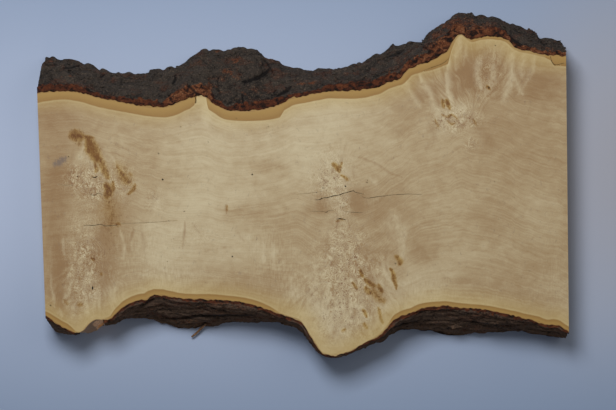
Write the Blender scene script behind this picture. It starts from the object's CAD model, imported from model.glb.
"""Looks of a live-edge slab of maple burl: figured wood, rough bark, cracks, holes, flakes and fibres."""

from dataclasses import dataclass, field
from enum import Enum
import logging
import math
from typing import Any, Sequence, TypeVar, Union

import bmesh
import bpy
import numpy as np
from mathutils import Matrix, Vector, noise


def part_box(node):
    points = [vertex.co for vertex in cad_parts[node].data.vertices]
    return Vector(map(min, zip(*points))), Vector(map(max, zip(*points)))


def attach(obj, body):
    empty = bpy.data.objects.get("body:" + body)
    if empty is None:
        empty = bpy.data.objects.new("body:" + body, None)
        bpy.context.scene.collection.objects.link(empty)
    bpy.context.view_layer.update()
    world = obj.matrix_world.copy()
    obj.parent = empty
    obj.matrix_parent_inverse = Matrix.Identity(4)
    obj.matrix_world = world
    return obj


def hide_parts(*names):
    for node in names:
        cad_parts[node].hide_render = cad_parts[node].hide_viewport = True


log = logging.getLogger("maple_burl")

MM = 0.001

# The middle of the camera's view lies here on the sawn face, in the slab's frame, in millimetres
VIEW_MIDDLE = (5.5, -22.2)
# One pixel of the photograph is this wide on the sawn face, in millimetres
PIXEL = 1.0
PHOTO_WIDTH = 616

Colour = tuple[float, float, float]
Size = tuple[float, float, float]
Point = tuple[float, float]
# One noise as (reach, size, seed)
Wave = tuple[float, Size, float]

# Farther than any two places on the slab, in millimetres
FAR = 1e9
# Shares of a noise's seed that move it along X, Y and Z
SEED_SHIFT = (1.0, 0.7, 1.3)
# Bark plates: how far their borders are bent and how wide a fissure is, both in plates
PLATE_BEND = 0.3
FISSURE_WIDTH = 0.3
# Scale and shifts of the noise that bends the plates along X, Y and Z, and scale of the one that raises them
PLATE_BEND_SCALE = 1.3
PLATE_BEND_SHIFTS = (5.2, 31.7, 63.1)
PLATE_HEIGHT_SCALE = 7.31


def srgb(red: int, green: int, blue: int) -> Colour:
    """Linear colour of an sRGB colour given from 0 to 255.

    Args:
        red: Red channel.
        green: Green channel.
        blue: Blue channel.

    Returns:
        The colour's three linear channels.
    """
    def linear(channel: int) -> float:
        """One channel."""
        share = channel / 255
        return share / 12.92 if share <= 0.04045 else ((share + 0.055) / 1.055) ** 2.4

    return linear(red), linear(green), linear(blue)


def catmull(rows: np.ndarray, places: np.ndarray) -> np.ndarray:
    """Reads rows at fractional places on a smooth curve through them.

    Args:
        rows: Values whose first axis is the one that is read along.
        places: Fractional row numbers.

    Returns:
        One row for each place.
    """
    last = len(rows) - 1
    places = np.clip(places, 0, last)
    start = np.minimum(places.astype(int), last - 1)
    t = (places - start).reshape(-1, *([1] * (rows.ndim - 1)))
    before, here = rows[np.maximum(start - 1, 0)], rows[start]
    after, beyond = rows[start + 1], rows[np.minimum(start + 2, last)]
    return 0.5 * (
        2 * here
        + (after - before) * t
        + (2 * before - 5 * here + 4 * after - beyond) * t ** 2
        + (3 * here - before - 3 * after + beyond) * t ** 3
    )


def noise_at(points: np.ndarray, size: Sequence[float], seed: float) -> np.ndarray:
    """Smooth noise from -1 to 1.

    Args:
        points: Places, in millimetres, one in each row.
        size: Size of a lump along X, Y and Z, in millimetres.
        seed: Shifts the noise to another field.

    Returns:
        One value for each place.
    """
    scaled = points / np.asarray(size, float) + seed * np.array(SEED_SHIFT)
    return np.array([noise.noise(Vector(row)) for row in scaled])


def noise_sum(points: np.ndarray, waves: Sequence[Wave], base: Any = 0.0) -> np.ndarray:
    """Several noises added to a number, or to one value for each place."""
    return sum((reach * noise_at(points, size, seed) for reach, size, seed in waves), base)


def plates_at(points: np.ndarray, size: Sequence[float], seed: float) -> tuple[np.ndarray, np.ndarray]:
    """Bark plates: how near each place is to a fissure, and how proud its own plate stands.

    Args:
        points: Places, in millimetres, one in each row.
        size: Size of a plate along X, Y and Z, in millimetres.
        seed: Shifts the plates to another field.

    Returns:
        Depth in the fissure from 0 to 1, and the plate's own height from -1 to 1.
    """
    fissure = np.zeros(len(points))
    proud = np.zeros(len(points))
    scaled = points / np.asarray(size, float) + seed
    for i, row in enumerate(scaled):
        place = Vector(row)
        fields = [place * PLATE_BEND_SCALE + Vector((shift, shift, shift)) for shift in PLATE_BEND_SHIFTS]
        place += PLATE_BEND * Vector([noise.noise(field_place) for field_place in fields])
        distances, centres = noise.voronoi(place)
        fissure[i] = max(0.0, 1.0 - (distances[1] - distances[0]) / FISSURE_WIDTH)
        proud[i] = noise.noise(centres[0] * PLATE_HEIGHT_SCALE)
    return fissure, proud


def smooth_step(values: np.ndarray, low: float, high: float) -> np.ndarray:
    """Values eased from 0 at low to 1 at high; low may be the greater."""
    t = np.clip((values - low) / (high - low), 0, 1)
    return t * t * (3 - 2 * t)


def turned(x: np.ndarray, y: np.ndarray, middle: Point, angle: float) -> tuple[np.ndarray, np.ndarray]:
    """Lengths along and across a line that leaves a middle at an angle in degrees."""
    turn = math.radians(angle)
    along = (x - middle[0]) * math.cos(turn) + (y - middle[1]) * math.sin(turn)
    across = (y - middle[1]) * math.cos(turn) - (x - middle[0]) * math.sin(turn)
    return along, across


def from_view_middle(points: np.ndarray) -> tuple[np.ndarray, np.ndarray]:
    """X and Y of points, counted from the middle of the view."""
    return points[:, 0] - VIEW_MIDDLE[0], points[:, 1] - VIEW_MIDDLE[1]


@dataclass(frozen=True)
class Patch:
    """A soft oval mark on the sawn face, in millimetres from the middle of the view and in degrees."""

    x: float
    y: float
    length: float
    width: float
    strength: float = 1.0
    angle: float = 0.0

    def weight(self, x: np.ndarray, y: np.ndarray) -> np.ndarray:
        """Weight of the mark at each place, fading outwards."""
        along, across = turned(x, y, (self.x, self.y), self.angle)
        return self.strength * np.exp(-((2 * along / self.length) ** 2 + (2 * across / self.width) ** 2))


@dataclass(frozen=True)
class Stroke:
    """A mark drawn along a line on the sawn face. Lengths in millimetres from the middle of the view.

    On the left of the line, seen along it, the mark fades as many times faster as keen says. Tip is its width
    at both ends as a share of its full width.
    """

    points: tuple[Point, ...]
    width: float
    strength: float = 1.0
    keen: float = 1.0
    tip: float = 0.3
    steps: int = 5

    def weight(self, x: np.ndarray, y: np.ndarray) -> np.ndarray:
        """Weight of the mark at each place: its strength on the line, half of it at the mark's border."""
        path = np.array(self.points, float)
        path = catmull(path, np.linspace(0, len(path) - 1, self.steps * len(path)))
        found = np.zeros(len(x))
        margin = self.width / min(self.keen, 1.0)
        low, high = path.min(axis=0) - margin, path.max(axis=0) + margin
        near = np.flatnonzero((x > low[0]) & (x < high[0]) & (y > low[1]) & (y < high[1]))
        best = np.full(len(near), FAR)
        for number, (start, stop) in enumerate(zip(path[:-1], path[1:])):
            step = stop - start
            dx, dy = x[near] - start[0], y[near] - start[1]
            t = np.clip((dx * step[0] + dy * step[1]) / (step @ step), 0, 1)
            gap = np.hypot(dx - t * step[0], dy - t * step[1])
            share = (number + t) / (len(path) - 1)
            bulge = np.sqrt(np.sin(math.pi * np.clip(share, 0.02, 0.98)))
            half = self.width / 2 * (self.tip + (1 - self.tip) * bulge)
            left = step[0] * dy - step[1] * dx > 0
            best = np.minimum(best, gap * np.where(left, self.keen, 1.0) / (2 * half))
        found[near] = self.strength * np.clip(1 - best, 0, 1)
        return found


def drawn(strokes: Sequence[Stroke], x: np.ndarray, y: np.ndarray) -> np.ndarray:
    """The strongest weight of several strokes at each place."""
    return np.max([stroke.weight(x, y) for stroke in strokes], axis=0)


@dataclass(frozen=True)
class Fan:
    """Streaks of burl wood that spread from one place. Angles in degrees, lengths in millimetres."""

    x: float
    y: float
    toward: float
    spread: float
    reach: float
    strength: float = 1.0
    root: Point = (2.0, 16.0)
    soft_side: Point = (1.25, 0.7)
    soft_end: float = 0.7

    def polar(self, x: np.ndarray, y: np.ndarray) -> tuple[np.ndarray, np.ndarray]:
        """Angle off the fan's middle line, in radians, and distance from its root."""
        along, across = turned(x, y, (self.x, self.y), self.toward)
        return np.arctan2(across, along), np.hypot(along, across)

    def weight(self, x: np.ndarray, y: np.ndarray) -> np.ndarray:
        """Weight of the fan at each place."""
        angle, radius = self.polar(x, y)
        half = math.radians(self.spread) / 2
        within = smooth_step(np.abs(angle), half * self.soft_side[0], half * self.soft_side[1])
        end = smooth_step(radius, self.reach, self.reach * self.soft_end)
        return self.strength * within * smooth_step(radius, *self.root) * end


@dataclass(frozen=True)
class Crack:
    """An open crack in the sawn face, through points in millimetres from the middle of the view.

    Foot is its width at the bottom as a share of its width, and above is how far its cutter clears the face.
    """

    points: tuple[Point, ...]
    width: float
    depth: float = 6.0
    wander: float = 0.5
    step: float = 1.6
    uneven: float = 0.45
    foot: float = 0.25
    above: float = 0.6


@dataclass(frozen=True)
class Hole:
    """A worm hole or pin knot in the sawn face. Lengths in millimetres."""

    x: float
    y: float
    radius: float
    stretch: float = 1.0
    depth: float = 5.0


Mark = TypeVar("Mark", Patch, Stroke, Fan, Crack, Hole)


def marks_of(kind: type[Mark], *rows: tuple[Any, ...]) -> tuple[Mark, ...]:
    """Marks of one kind, each from a row of its values in the order of its fields."""
    return tuple(kind(*row) for row in rows)


class Value:
    """A number in a shader, as a socket or a plain number, that takes part in Python arithmetic."""

    def __init__(self, graph: "Graph", source: Any) -> None:
        """Keeps the graph and the socket or number."""
        self.graph = graph
        self.source = source

    def _math(self, operation: str, *others: "Number", clamp: bool = False) -> "Value":
        """One Math node on this value and others."""
        settings = {"operation": operation, "use_clamp": clamp}
        inputs = {i: v for i, v in enumerate((self, *others))}
        return Value(self.graph, self.graph.node("ShaderNodeMath", settings, inputs).outputs[0])

    def __add__(self, other: "Number") -> "Value":
        """Sum."""
        return self._math("ADD", other)

    __radd__ = __add__

    def __mul__(self, other: "Number") -> "Value":
        """Product."""
        return self._math("MULTIPLY", other)

    __rmul__ = __mul__

    def __sub__(self, other: "Number") -> "Value":
        """Difference."""
        return self._math("SUBTRACT", other)

    def __rsub__(self, other: float) -> "Value":
        """Difference from a plain number."""
        return Value(self.graph, other)._math("SUBTRACT", self)

    def __truediv__(self, other: "Number") -> "Value":
        """Quotient."""
        return self._math("DIVIDE", other)

    def __abs__(self) -> "Value":
        """Size without sign."""
        return self._math("ABSOLUTE")

    def highest(self, other: "Number") -> "Value":
        """The greater of two values."""
        return self._math("MAXIMUM", other)

    def clamped(self) -> "Value":
        """The value held between 0 and 1."""
        return self._math("ADD", 0.0, clamp=True)

    def sine(self) -> "Value":
        """Sine."""
        return self._math("SINE")

    def step(self, low: float, high: float) -> "Value":
        """The value eased from 0 at low to 1 at high; low may be the greater."""
        settings = {"interpolation_type": "SMOOTHSTEP"}
        start, stop = (0.0, 1.0) if low < high else (1.0, 0.0)
        inputs = {0: self, 1: min(low, high), 2: max(low, high), 3: start, 4: stop}
        return Value(self.graph, self.graph.node("ShaderNodeMapRange", settings, inputs).outputs[0])


Number = Union[Value, float, int]


class NodeMaker:
    """Adds nodes to one tree."""

    def __init__(self, tree: bpy.types.NodeTree) -> None:
        """Keeps the tree."""
        self.tree = tree

    def node(self, kind: str, settings: dict[str, Any], inputs: dict[Any, Any]) -> bpy.types.Node:
        """Adds one node.

        Args:
            kind: The node's type.
            settings: Its own settings, which are set first.
            inputs: Values or links, by socket name or number.

        Returns:
            The new node.
        """
        made = self.tree.nodes.new(kind)
        for key, value in settings.items():
            setattr(made, key, value)
        for key, value in inputs.items():
            self.feed(made.inputs[key], value)
        return made

    def feed(self, socket: bpy.types.NodeSocket, value: Any) -> None:
        """Gives a socket a link, a colour or a plain value."""
        source = value.source if isinstance(value, Value) else value
        if isinstance(source, bpy.types.NodeSocket):
            self.tree.links.new(source, socket)
        elif isinstance(source, tuple) and socket.type == "RGBA":
            socket.default_value = (*source, 1.0)
        else:
            socket.default_value = source


class Graph(NodeMaker):
    """Builds one material's nodes."""

    def __init__(self, name: str) -> None:
        """Starts a material with a name."""
        self.material = bpy.data.materials.new(name)
        self.material.use_nodes = True
        super().__init__(self.material.node_tree)
        self.shader = self.tree.nodes["Principled BSDF"]
        self.place = self.node("ShaderNodeTexCoord", {}, {}).outputs["Object"]

    def attribute(self, name: str) -> Value:
        """A number that the mesh carries at its points."""
        return Value(self, self.node("ShaderNodeAttribute", {"attribute_name": name}, {}).outputs["Fac"])

    def vector(self, x: Number, y: Number, z: Number) -> Any:
        """A vector made of three numbers."""
        return self.node("ShaderNodeCombineXYZ", {}, {0: x, 1: y, 2: z}).outputs[0]

    def stretched(self, size: Sequence[float]) -> Any:
        """Object coordinates in lumps of a size along X, Y and Z, in millimetres."""
        scale = tuple(1 / (length * MM) for length in size)
        return self.node("ShaderNodeMapping", {}, {"Vector": self.place, "Scale": scale}).outputs[0]

    def noise(self, vector: Any, detail: float = 2.0, rough: float = 0.5, warp: float = 0.0) -> Value:
        """Noise from 0 to 1 at a vector in lumps of size 1."""
        inputs = {"Vector": vector, "Scale": 1.0, "Detail": detail, "Roughness": rough, "Distortion": warp}
        return Value(self, self.node("ShaderNodeTexNoise", {}, inputs).outputs[0])

    def lumps(
        self, size: Sequence[float], detail: float = 2.0, rough: float = 0.5, warp: float = 0.0
    ) -> Value:
        """Noise from 0 to 1 in lumps of a size along X, Y and Z, in millimetres."""
        return self.noise(self.stretched(size), detail, rough, warp)

    def cells(self, size: Sequence[float]) -> Value:
        """Distance to the middle of the nearest cell, in cells of a size in millimetres."""
        inputs = {"Vector": self.stretched(size), "Scale": 1.0}
        return Value(self, self.node("ShaderNodeTexVoronoi", {"feature": "F1"}, inputs).outputs["Distance"])

    def mix(self, share: Number, first: Any, second: Any, blend: str = "MIX") -> Any:
        """Colour mixed from first to second by share."""
        settings = {"data_type": "RGBA", "blend_type": blend, "clamp_factor": True}
        return self.node("ShaderNodeMix", settings, {0: share, 6: first, 7: second}).outputs[2]

    def finish(
        self, colour: Any, roughness: Number, height: Number, depth: float, specular: float
    ) -> bpy.types.Material:
        """Feeds the shader and returns the material.

        Args:
            colour: Base colour.
            roughness: Roughness from 0 to 1.
            height: Relief that the bump reads, from 0 to 1.
            depth: How deep that relief is, in millimetres.
            specular: Strength of the plain surface gloss.

        Returns:
            The finished material.
        """
        bump = self.node("ShaderNodeBump", {}, {"Height": height, "Distance": depth * MM, "Strength": 1.0})
        for key, value in (
            ("Base Color", colour), ("Roughness", roughness), ("Normal", bump.outputs[0]),
            ("Specular IOR Level", specular),
        ):
            self.feed(self.shader.inputs[key], value)
        return self.material


@dataclass(frozen=True)
class MapleFinish:
    """Sawn, unfinished maple burl with its sap band, figure and stains. Sizes in millimetres."""

    name: str = "sawn_maple_burl"
    shade: Colour = srgb(143, 112, 73)
    middle: Colour = srgb(171, 149, 111)
    pale: Colour = srgb(196, 181, 145)
    sap_outer: Colour = srgb(136, 99, 46)
    sap_inner: Colour = srgb(159, 125, 64)
    sap_line: Colour = srgb(198, 180, 128)
    sap_glow: Colour = srgb(196, 172, 104)
    stain: Colour = srgb(182, 148, 78)
    stain_light: Colour = srgb(232, 212, 160)
    grey: Colour = srgb(104, 92, 86)
    line: Colour = srgb(122, 84, 48)
    broken: Colour = srgb(228, 186, 140)
    broken_dark: Colour = srgb(196, 150, 108)
    broken_deep: Colour = srgb(88, 70, 50)
    broken_orange: Colour = srgb(226, 152, 72)
    pore_size: Size = (0.9, 0.9, 0.9)
    ray_size: Size = (1.3, 7.0, 7.0)
    blotch_size: Size = (13.0, 8.0, 12.0)
    sway_size: Size = (12.0, 18.0, 12.0)
    patch_size: Size = (4.5, 9.0, 9.0)
    mottle_size: Size = (2.6, 4.6, 4.6)
    fibre_size: Size = (0.9, 0.9, 7.0)
    blotch_share: float = 0.9
    pore_share: float = 0.5
    ring_share: float = 0.85
    ring_line_share: float = 0.14
    fan_share: float = 2.9
    ray_share: float = 1.5
    burl_lift: float = 0.16
    curl_share: float = 0.68
    relief_depth: float = 0.1
    gloss: float = 0.3

    def build(self) -> bpy.types.Material:
        """Makes the material."""
        g = Graph(self.name)
        fine = g.lumps(self.pore_size, 3, 0.65)
        spikes = g.lumps(self.ray_size, 3, 0.6)
        blotch = g.lumps(self.blotch_size, 4, 0.55, 0.5)
        rings, ring_lines = self.rings(g)
        curl, curl_line, specks = self.curls(g)
        fan, burl = g.attribute("fan"), g.attribute("burl")

        value = g.attribute("tone") + (blotch - 0.5) * self.blotch_share + (fine - 0.5) * self.pore_share
        value = value + (rings - 0.5) * (1 - fan * 0.7) * self.ring_share
        value = value - ring_lines * (1 - fan) * self.ring_line_share
        value = value + (self.fan_streaks(g) - 0.5) * fan * self.fan_share
        value = value + (spikes - 0.5) * g.attribute("rays") * self.ray_share
        value = value + burl * (self.burl_lift + curl * self.curl_share)
        colour = g.mix(value.step(-0.9, 0.35), self.shade, self.middle)
        colour = g.mix(value.step(-0.1, 1.0), colour, self.pale)

        colour = self.streaks(g, colour, fine, spikes)
        colour = g.mix(burl * curl_line * 0.9, colour, self.line)
        colour = g.mix(burl * specks * 0.9, colour, self.line)
        colour = g.mix(g.attribute("eye") * (fine * 1.9 - 0.45).clamped(), colour, self.line)
        colour = self.stains(g, colour, fine)
        colour = self.sapwood(g, colour, rings)
        colour = g.mix(g.attribute("bare"), colour, self.torn_side(g, blotch))
        return g.finish(colour, 0.5 + 0.2 * fine, 0.5 * fine + 0.5 * rings, self.relief_depth, self.gloss)

    def rings(self, g: Graph) -> tuple[Value, Value]:
        """Fine streaks along the growth rings, and the few darker ring lines."""
        along = g.attribute("along")
        ring = g.attribute("ring") + g.lumps((70, 30, 40), 1) * 3.5
        streak = g.noise(g.vector(along / 60, ring / 1.5, 0.3), 4, 0.62)
        broad = g.noise(g.vector(along / 220, ring / 4.6, 2.1))
        shown = g.lumps((45, 25, 45)).step(0.42, 0.62)
        return streak, (1 - (abs(broad - 0.5) * 18).clamped()) * shown

    def fan_streaks(self, g: Graph) -> Value:
        """Streaks that spread from the roots of the fans."""
        angle = g.attribute("fan_angle") * 15 + g.lumps(self.sway_size) * 1.4
        return g.noise(g.vector(angle, g.attribute("fan_radius") / 22, 1.7), 4, 0.7, 0.45)

    def curls(self, g: Graph) -> tuple[Value, Value, Value]:
        """The burl's curls as light and dark turns, their thin dark lines, and its pin knots."""
        curl = (g.lumps((5.4, 7.2, 6), 2.5, 0.5, 1.1) * 42).sine()
        shown = g.lumps((8, 8, 8), 1).step(0.42, 0.58)
        bent = g.lumps((2.4, 2.4, 2.4), 1) * 0.5
        near = g.cells((3.4, 4.2, 3.4))
        loops = (1 - (abs(near + bent - 0.5) * 13).clamped()) * g.lumps((7, 6, 7), 1).step(0.46, 0.6)
        specks = g.cells((3.1, 3.1, 3.1)).step(0.24, 0.12) * g.lumps((6, 6, 6), 1).step(0.46, 0.6)
        return curl, curl.step(0.55, 0.95) * shown, specks.highest(loops * 0.8)

    def streaks(self, g: Graph, colour: Any, fine: Value, spikes: Value) -> Any:
        """Lays the pale and the tan streaks of the figure over a colour."""
        patchy = g.lumps(self.patch_size, 3, 0.65, 0.6)
        pale_edge = g.attribute("light") + (patchy - 0.5) * 0.9 + (fine - 0.5) * 0.15
        colour = g.mix(pale_edge.step(0.15, 1.0) * (0.2 + 0.85 * patchy), colour, self.pale)
        tan_edge = g.attribute("tan") + (patchy - 0.5) * 0.9 + (fine - 0.5) * 0.2
        return g.mix(tan_edge.step(0.15, 0.95) * (0.2 + 0.85 * spikes), colour, self.shade)

    def stains(self, g: Graph, colour: Any, fine: Value) -> Any:
        """Lays the brown and grey stains over a colour."""
        stain = g.attribute("stain")
        mottle = g.lumps(self.mottle_size, 4, 0.68, 0.9)
        stain_edge = stain + (mottle - 0.5) * 2.3 + (fine - 0.5) * 0.5
        halo = (stain + (mottle - 0.5) * 0.7).step(0.05, 0.7)
        colour = g.mix(halo, colour, self.stain_light, "MULTIPLY")
        colour = g.mix(stain_edge.step(0.3, 1.15), colour, self.stain, "MULTIPLY")
        grey_edge = g.attribute("grey") + (mottle - 0.5) * 1.9 + (fine - 0.5) * 0.4
        return g.mix(grey_edge.step(0.1, 0.8) * 0.7, colour, self.grey)

    def sapwood(self, g: Graph, colour: Any, rings: Value) -> Any:
        """Lays the sap band, its pale inner line and the dark line under the bark over a colour."""
        sap = g.attribute("sap")
        width = g.attribute("sap_width")
        band = width + (g.lumps((14, 14, 14)) - 0.5) * 1.4
        colour = g.mix((sap / 26).step(1.0, 0.0) * 0.4, colour, self.sap_glow)
        present = (width / 3).clamped()
        band_colour = g.mix((sap / band).clamped().step(0.15, 1.2), self.sap_inner, self.sap_outer)
        mottle = g.lumps((9, 5, 9), 3, 0.6)
        worn = ((rings - 0.35).clamped() + mottle - 0.3).clamped() * 0.6
        band_colour = g.mix(worn, band_colour, self.sap_inner)
        colour = g.mix((sap - band).step(0.7, -0.5) * present * 0.95, colour, band_colour)
        edge_line = 1 - (abs(sap - band - 1.1) * 0.8).clamped()
        colour = g.mix(edge_line * present * 0.25, colour, self.sap_line)
        return g.mix((sap - 0.2).step(0.8, 0.0) * 0.6, colour, self.line)

    def torn_side(self, g: Graph, blotch: Value) -> Any:
        """Colour of the wood's side where the bark has chipped away."""
        fibres = g.lumps(self.fibre_size, 4, 0.7, 0.3)
        colour = g.mix(fibres.step(0.4, 0.62), self.broken_dark, self.broken)
        orange = g.attribute("orange") + (fibres - 0.5) * 1.8 + (blotch - 0.5) * 1.2
        colour = g.mix(orange.step(0.35, 0.95) * 0.8, colour, self.broken_orange)
        colour = g.mix(fibres.step(0.42, 0.3) * 0.8, colour, self.broken_deep)
        facet = g.attribute("facet") + (blotch - 0.5) * 0.9 + (fibres - 0.5) * 1.6
        return g.mix(facet.step(0.6, 0.3) * 0.75, colour, self.broken_deep)


@dataclass(frozen=True)
class BarkFinish:
    """Weathered maple bark: dark plates, darker fissures, and red-brown where it is sawn or torn.

    Sizes in millimetres; grain is the size of the bark's own small lumps.
    """

    name: str
    plate: Colour
    deep: Colour
    crest: Colour
    grain: Size
    inner: Colour = srgb(82, 42, 23)
    inner_dark: Colour = srgb(42, 23, 15)
    torn: Colour = srgb(105, 62, 36)
    dry: Colour = srgb(142, 106, 76)
    fine_grain: float = 0.85
    coarse_grain: float = 3.2
    tint_size: Size = (20.0, 13.0, 13.0)
    lichen_size: Size = (11.0, 11.0, 11.0)
    speck_size: Size = (1.5, 1.5, 1.5)
    mound_size: Size = (7.0, 5.0, 5.0)
    relief_depth: float = 1.2
    gloss: float = 0.18

    def build(self) -> bpy.types.Material:
        """Makes the material."""
        g = Graph(self.name)
        fine = g.lumps([self.fine_grain * length for length in self.grain], 4, 0.75)
        coarse = g.lumps([self.coarse_grain * length for length in self.grain], 4, 0.6, 0.5)
        speck = g.lumps(self.speck_size, 3, 0.7)
        mound = g.lumps(self.mound_size, 3, 0.6, 0.6)
        colour = self.weathered(g, fine, coarse, speck)
        colour = self.torn_places(g, colour, speck, mound)
        colour = self.sawn_band(g, colour, speck, mound, coarse)
        crease = g.attribute("crease") + (speck - 0.5) * 0.5
        colour = g.mix(crease.step(0.25, 0.75) * 0.85, colour, self.deep)
        return g.finish(colour, 0.82 + 0.12 * fine, 0.5 * coarse + 0.5 * fine, self.relief_depth, self.gloss)

    def weathered(self, g: Graph, fine: Value, coarse: Value, speck: Value) -> Any:
        """Colour of the plates, with fissures, crests, red-brown tints and dry crust."""
        value = g.attribute("height") * 0.45 + (coarse - 0.5) * 0.9 + (fine - 0.5) * 2.0
        colour = g.mix(value.step(-0.7, -0.05), self.deep, self.plate)
        colour = g.mix(value.step(0.05, 0.75) * 0.7, colour, self.crest)
        tint = g.lumps(self.tint_size, 4, 0.65)
        colour = g.mix(tint.step(0.5, 0.62) * fine.step(0.4, 0.6) * 0.55, colour, self.inner)
        lichen = g.lumps(self.lichen_size, 3, 0.7).step(0.56, 0.7)
        colour = g.mix(lichen * fine.step(0.5, 0.7) * 0.4, colour, self.dry)
        colour = g.mix(speck.step(0.55, 0.7) * 0.55, colour, self.crest)
        return g.mix(speck.step(0.44, 0.32) * 0.65, colour, self.deep)

    def torn_places(self, g: Graph, colour: Any, speck: Value, mound: Value) -> Any:
        """Lays the torn places over a colour."""
        edge = g.attribute("torn") + (mound - 0.5) * 2.2 + (speck - 0.5) * 1.0
        torn = g.mix(speck.step(0.42, 0.66), self.inner, self.torn)
        torn = g.mix(speck.step(0.54, 0.68) * 0.7, torn, self.dry)
        torn = g.mix(mound.step(0.5, 0.36), torn, self.deep)
        return g.mix(edge.step(0.4, 0.95) * 0.75, colour, torn)

    def sawn_band(self, g: Graph, colour: Any, speck: Value, mound: Value, coarse: Value) -> Any:
        """Lays the band of sawn bark along the wood over a colour."""
        edge = g.attribute("cut") + (mound - 0.5) * 1.1 + (speck - 0.5) * 0.5
        warm = g.attribute("warm") + (mound - 0.5) * 3.0
        band = g.mix((0.6 * mound + 0.4 * speck).step(0.4, 0.58), self.inner_dark, self.inner)
        band = g.mix(warm.step(0.5, 1.1) * (0.35 + speck).step(0.6, 0.95), band, self.torn)
        band = g.mix(warm.step(0.8, 1.3) * speck.step(0.5, 0.62) * 0.7, band, self.dry)
        band = g.mix((mound * 0.5 + coarse * 0.5).step(0.5, 0.4) * 0.85, band, self.deep)
        return g.mix(edge.step(0.38, 0.62), colour, band)


@dataclass(frozen=True)
class PlainFinish:
    """A rough matt finish with two colours that a fine noise mixes."""

    name: str
    dark: Colour
    light: Colour
    grain: float
    roughness: float = 0.8
    relief_depth: float = 0.2
    gloss: float = 0.2

    def build(self) -> bpy.types.Material:
        """Makes the material."""
        g = Graph(self.name)
        fine = g.lumps((self.grain, self.grain, self.grain), 4, 0.6)
        colour = g.mix(fine.step(0.3, 0.7), self.dark, self.light)
        return g.finish(colour, self.roughness, fine, self.relief_depth, self.gloss)


@dataclass(frozen=True)
class FloorFinish:
    """Pale blue-grey card, darker away from the slab and warmer beside its right end. Lengths in metres."""

    name: str = "pale_floor"
    near: Colour = srgb(176, 188, 209)
    far: Colour = srgb(124, 142, 167)
    warm: Colour = srgb(162, 161, 166)
    near_middle: Point = (-0.17, -0.005)
    near_reach: Point = (0.88, 0.23)
    warm_middle: Point = (0.34, 0.03)
    warm_reach: Point = (0.12, 0.2)
    warm_share: float = 0.85

    def build(self) -> bpy.types.Material:
        """Makes the material."""
        g = Graph(self.name)
        colour = g.mix(self.away(g, self.near_middle, self.near_reach).step(0.0, 1.5), self.near, self.far)
        warm = self.away(g, self.warm_middle, self.warm_reach).step(1.5, 0.0)
        colour = g.mix(warm * self.warm_share, colour, self.warm)
        return g.finish(colour, 0.7, 0.5, 0.1, 0.2)

    def away(self, g: Graph, middle: Point, reach: Point) -> Value:
        """Distance from a place on the floor, in shares of a reach along X and Y."""
        shift = (-middle[0] / reach[0], -middle[1] / reach[1], 0.0)
        inputs = {"Vector": g.place, "Location": shift, "Scale": (1 / reach[0], 1 / reach[1], 0.0)}
        spot = g.node("ShaderNodeMapping", {}, inputs)
        length = g.node("ShaderNodeVectorMath", {"operation": "LENGTH"}, {0: spot.outputs[0]})
        return Value(g, length.outputs["Value"])


CRACK_FINISH = PlainFinish("crack_wall", srgb(72, 36, 18), srgb(118, 68, 36), 1.5)
FIBRE_FINISH = PlainFinish("torn_fibre", srgb(80, 58, 42), srgb(140, 108, 78), 2.0)
FLOOR_FINISH = FloorFinish()
UPPER_BARK_FINISH = BarkFinish(
    "upper_bark_finish", srgb(56, 49, 42), srgb(15, 12, 10), srgb(116, 99, 82), grain=(1.6, 1.2, 1.2)
)
LOWER_BARK_FINISH = BarkFinish(
    "lower_bark_finish", srgb(76, 61, 50), srgb(22, 16, 13), srgb(124, 98, 76), grain=(4.0, 1.0, 0.9)
)

# Marks on the sawn face, in millimetres from the middle of the view, +Y towards the upper edge. Each row
# holds the values of its kind's fields, in their order
TONE_PATCHES = marks_of(
    Patch,
    (-95, 20, 190, 150, 0.5), (-60, -25, 140, 90, 0.3), (-255, 10, 50, 260, -0.35),
    (-250, -60, 20, 160, -0.3), (60, -2, 60, 30, -0.3), (10, -4, 36, 26, -0.4), (58, -35, 40, 40, -0.12),
    (-60, -80, 110, 60, -0.25), (236, 122, 50, 50, -0.4), (245, 50, 60, 60, 0.15),
    (100, 82, 40, 50, -0.3, 10), (180, 70, 40, 40, -0.3), (172, 124, 40, 50, -0.35), (-116, 6, 60, 26, 0.3),
    (-70, -8, 50, 16, -0.3), (118, -45, 30, 22, -0.35), (28, 32, 40, 44, 0.3), (25, -115, 60, 60, 0.3),
    (-225, 45, 34, 40, 0.15), (-150, -50, 60, 60, 0.35), (40, 80, 130, 70, 0.5), (-20, 55, 90, 70, 0.2),
    (-186, 18, 60, 70, -0.15), (-194, -8, 40, 40, -0.45), (-188, -34, 40, 30, -0.3),
    (-213, -45, 40, 50, -0.35), (-246, 36, 34, 36, -0.3), (-48, -20, 60, 50, -0.35),
    (172, 120, 150, 70, -0.2), (42, -20, 90, 150, 0.12), (22, -116, 60, 50, 0.4), (-100, -50, 90, 40, 0.2),
    (100, -90, 60, 50, 0.3), (120, 60, 120, 60, 0.2), (68, -90, 30, 40, 0.25), (-220, -62, 36, 60, 0.3),
    (160, 132, 26, 44, -0.5), (177, 130, 34, 50, -0.3), (148, 95, 34, 30, 0.45), (120, 12, 160, 50, 0.15),
    (180, -60, 130, 60, 0.12), (-262, -70, 12, 70, 0.3), (110, 50, 60, 40, -0.2), (-35, 37, 34, 16, -0.4),
    (200, 35, 120, 30, 0.1, -6),
)
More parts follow.
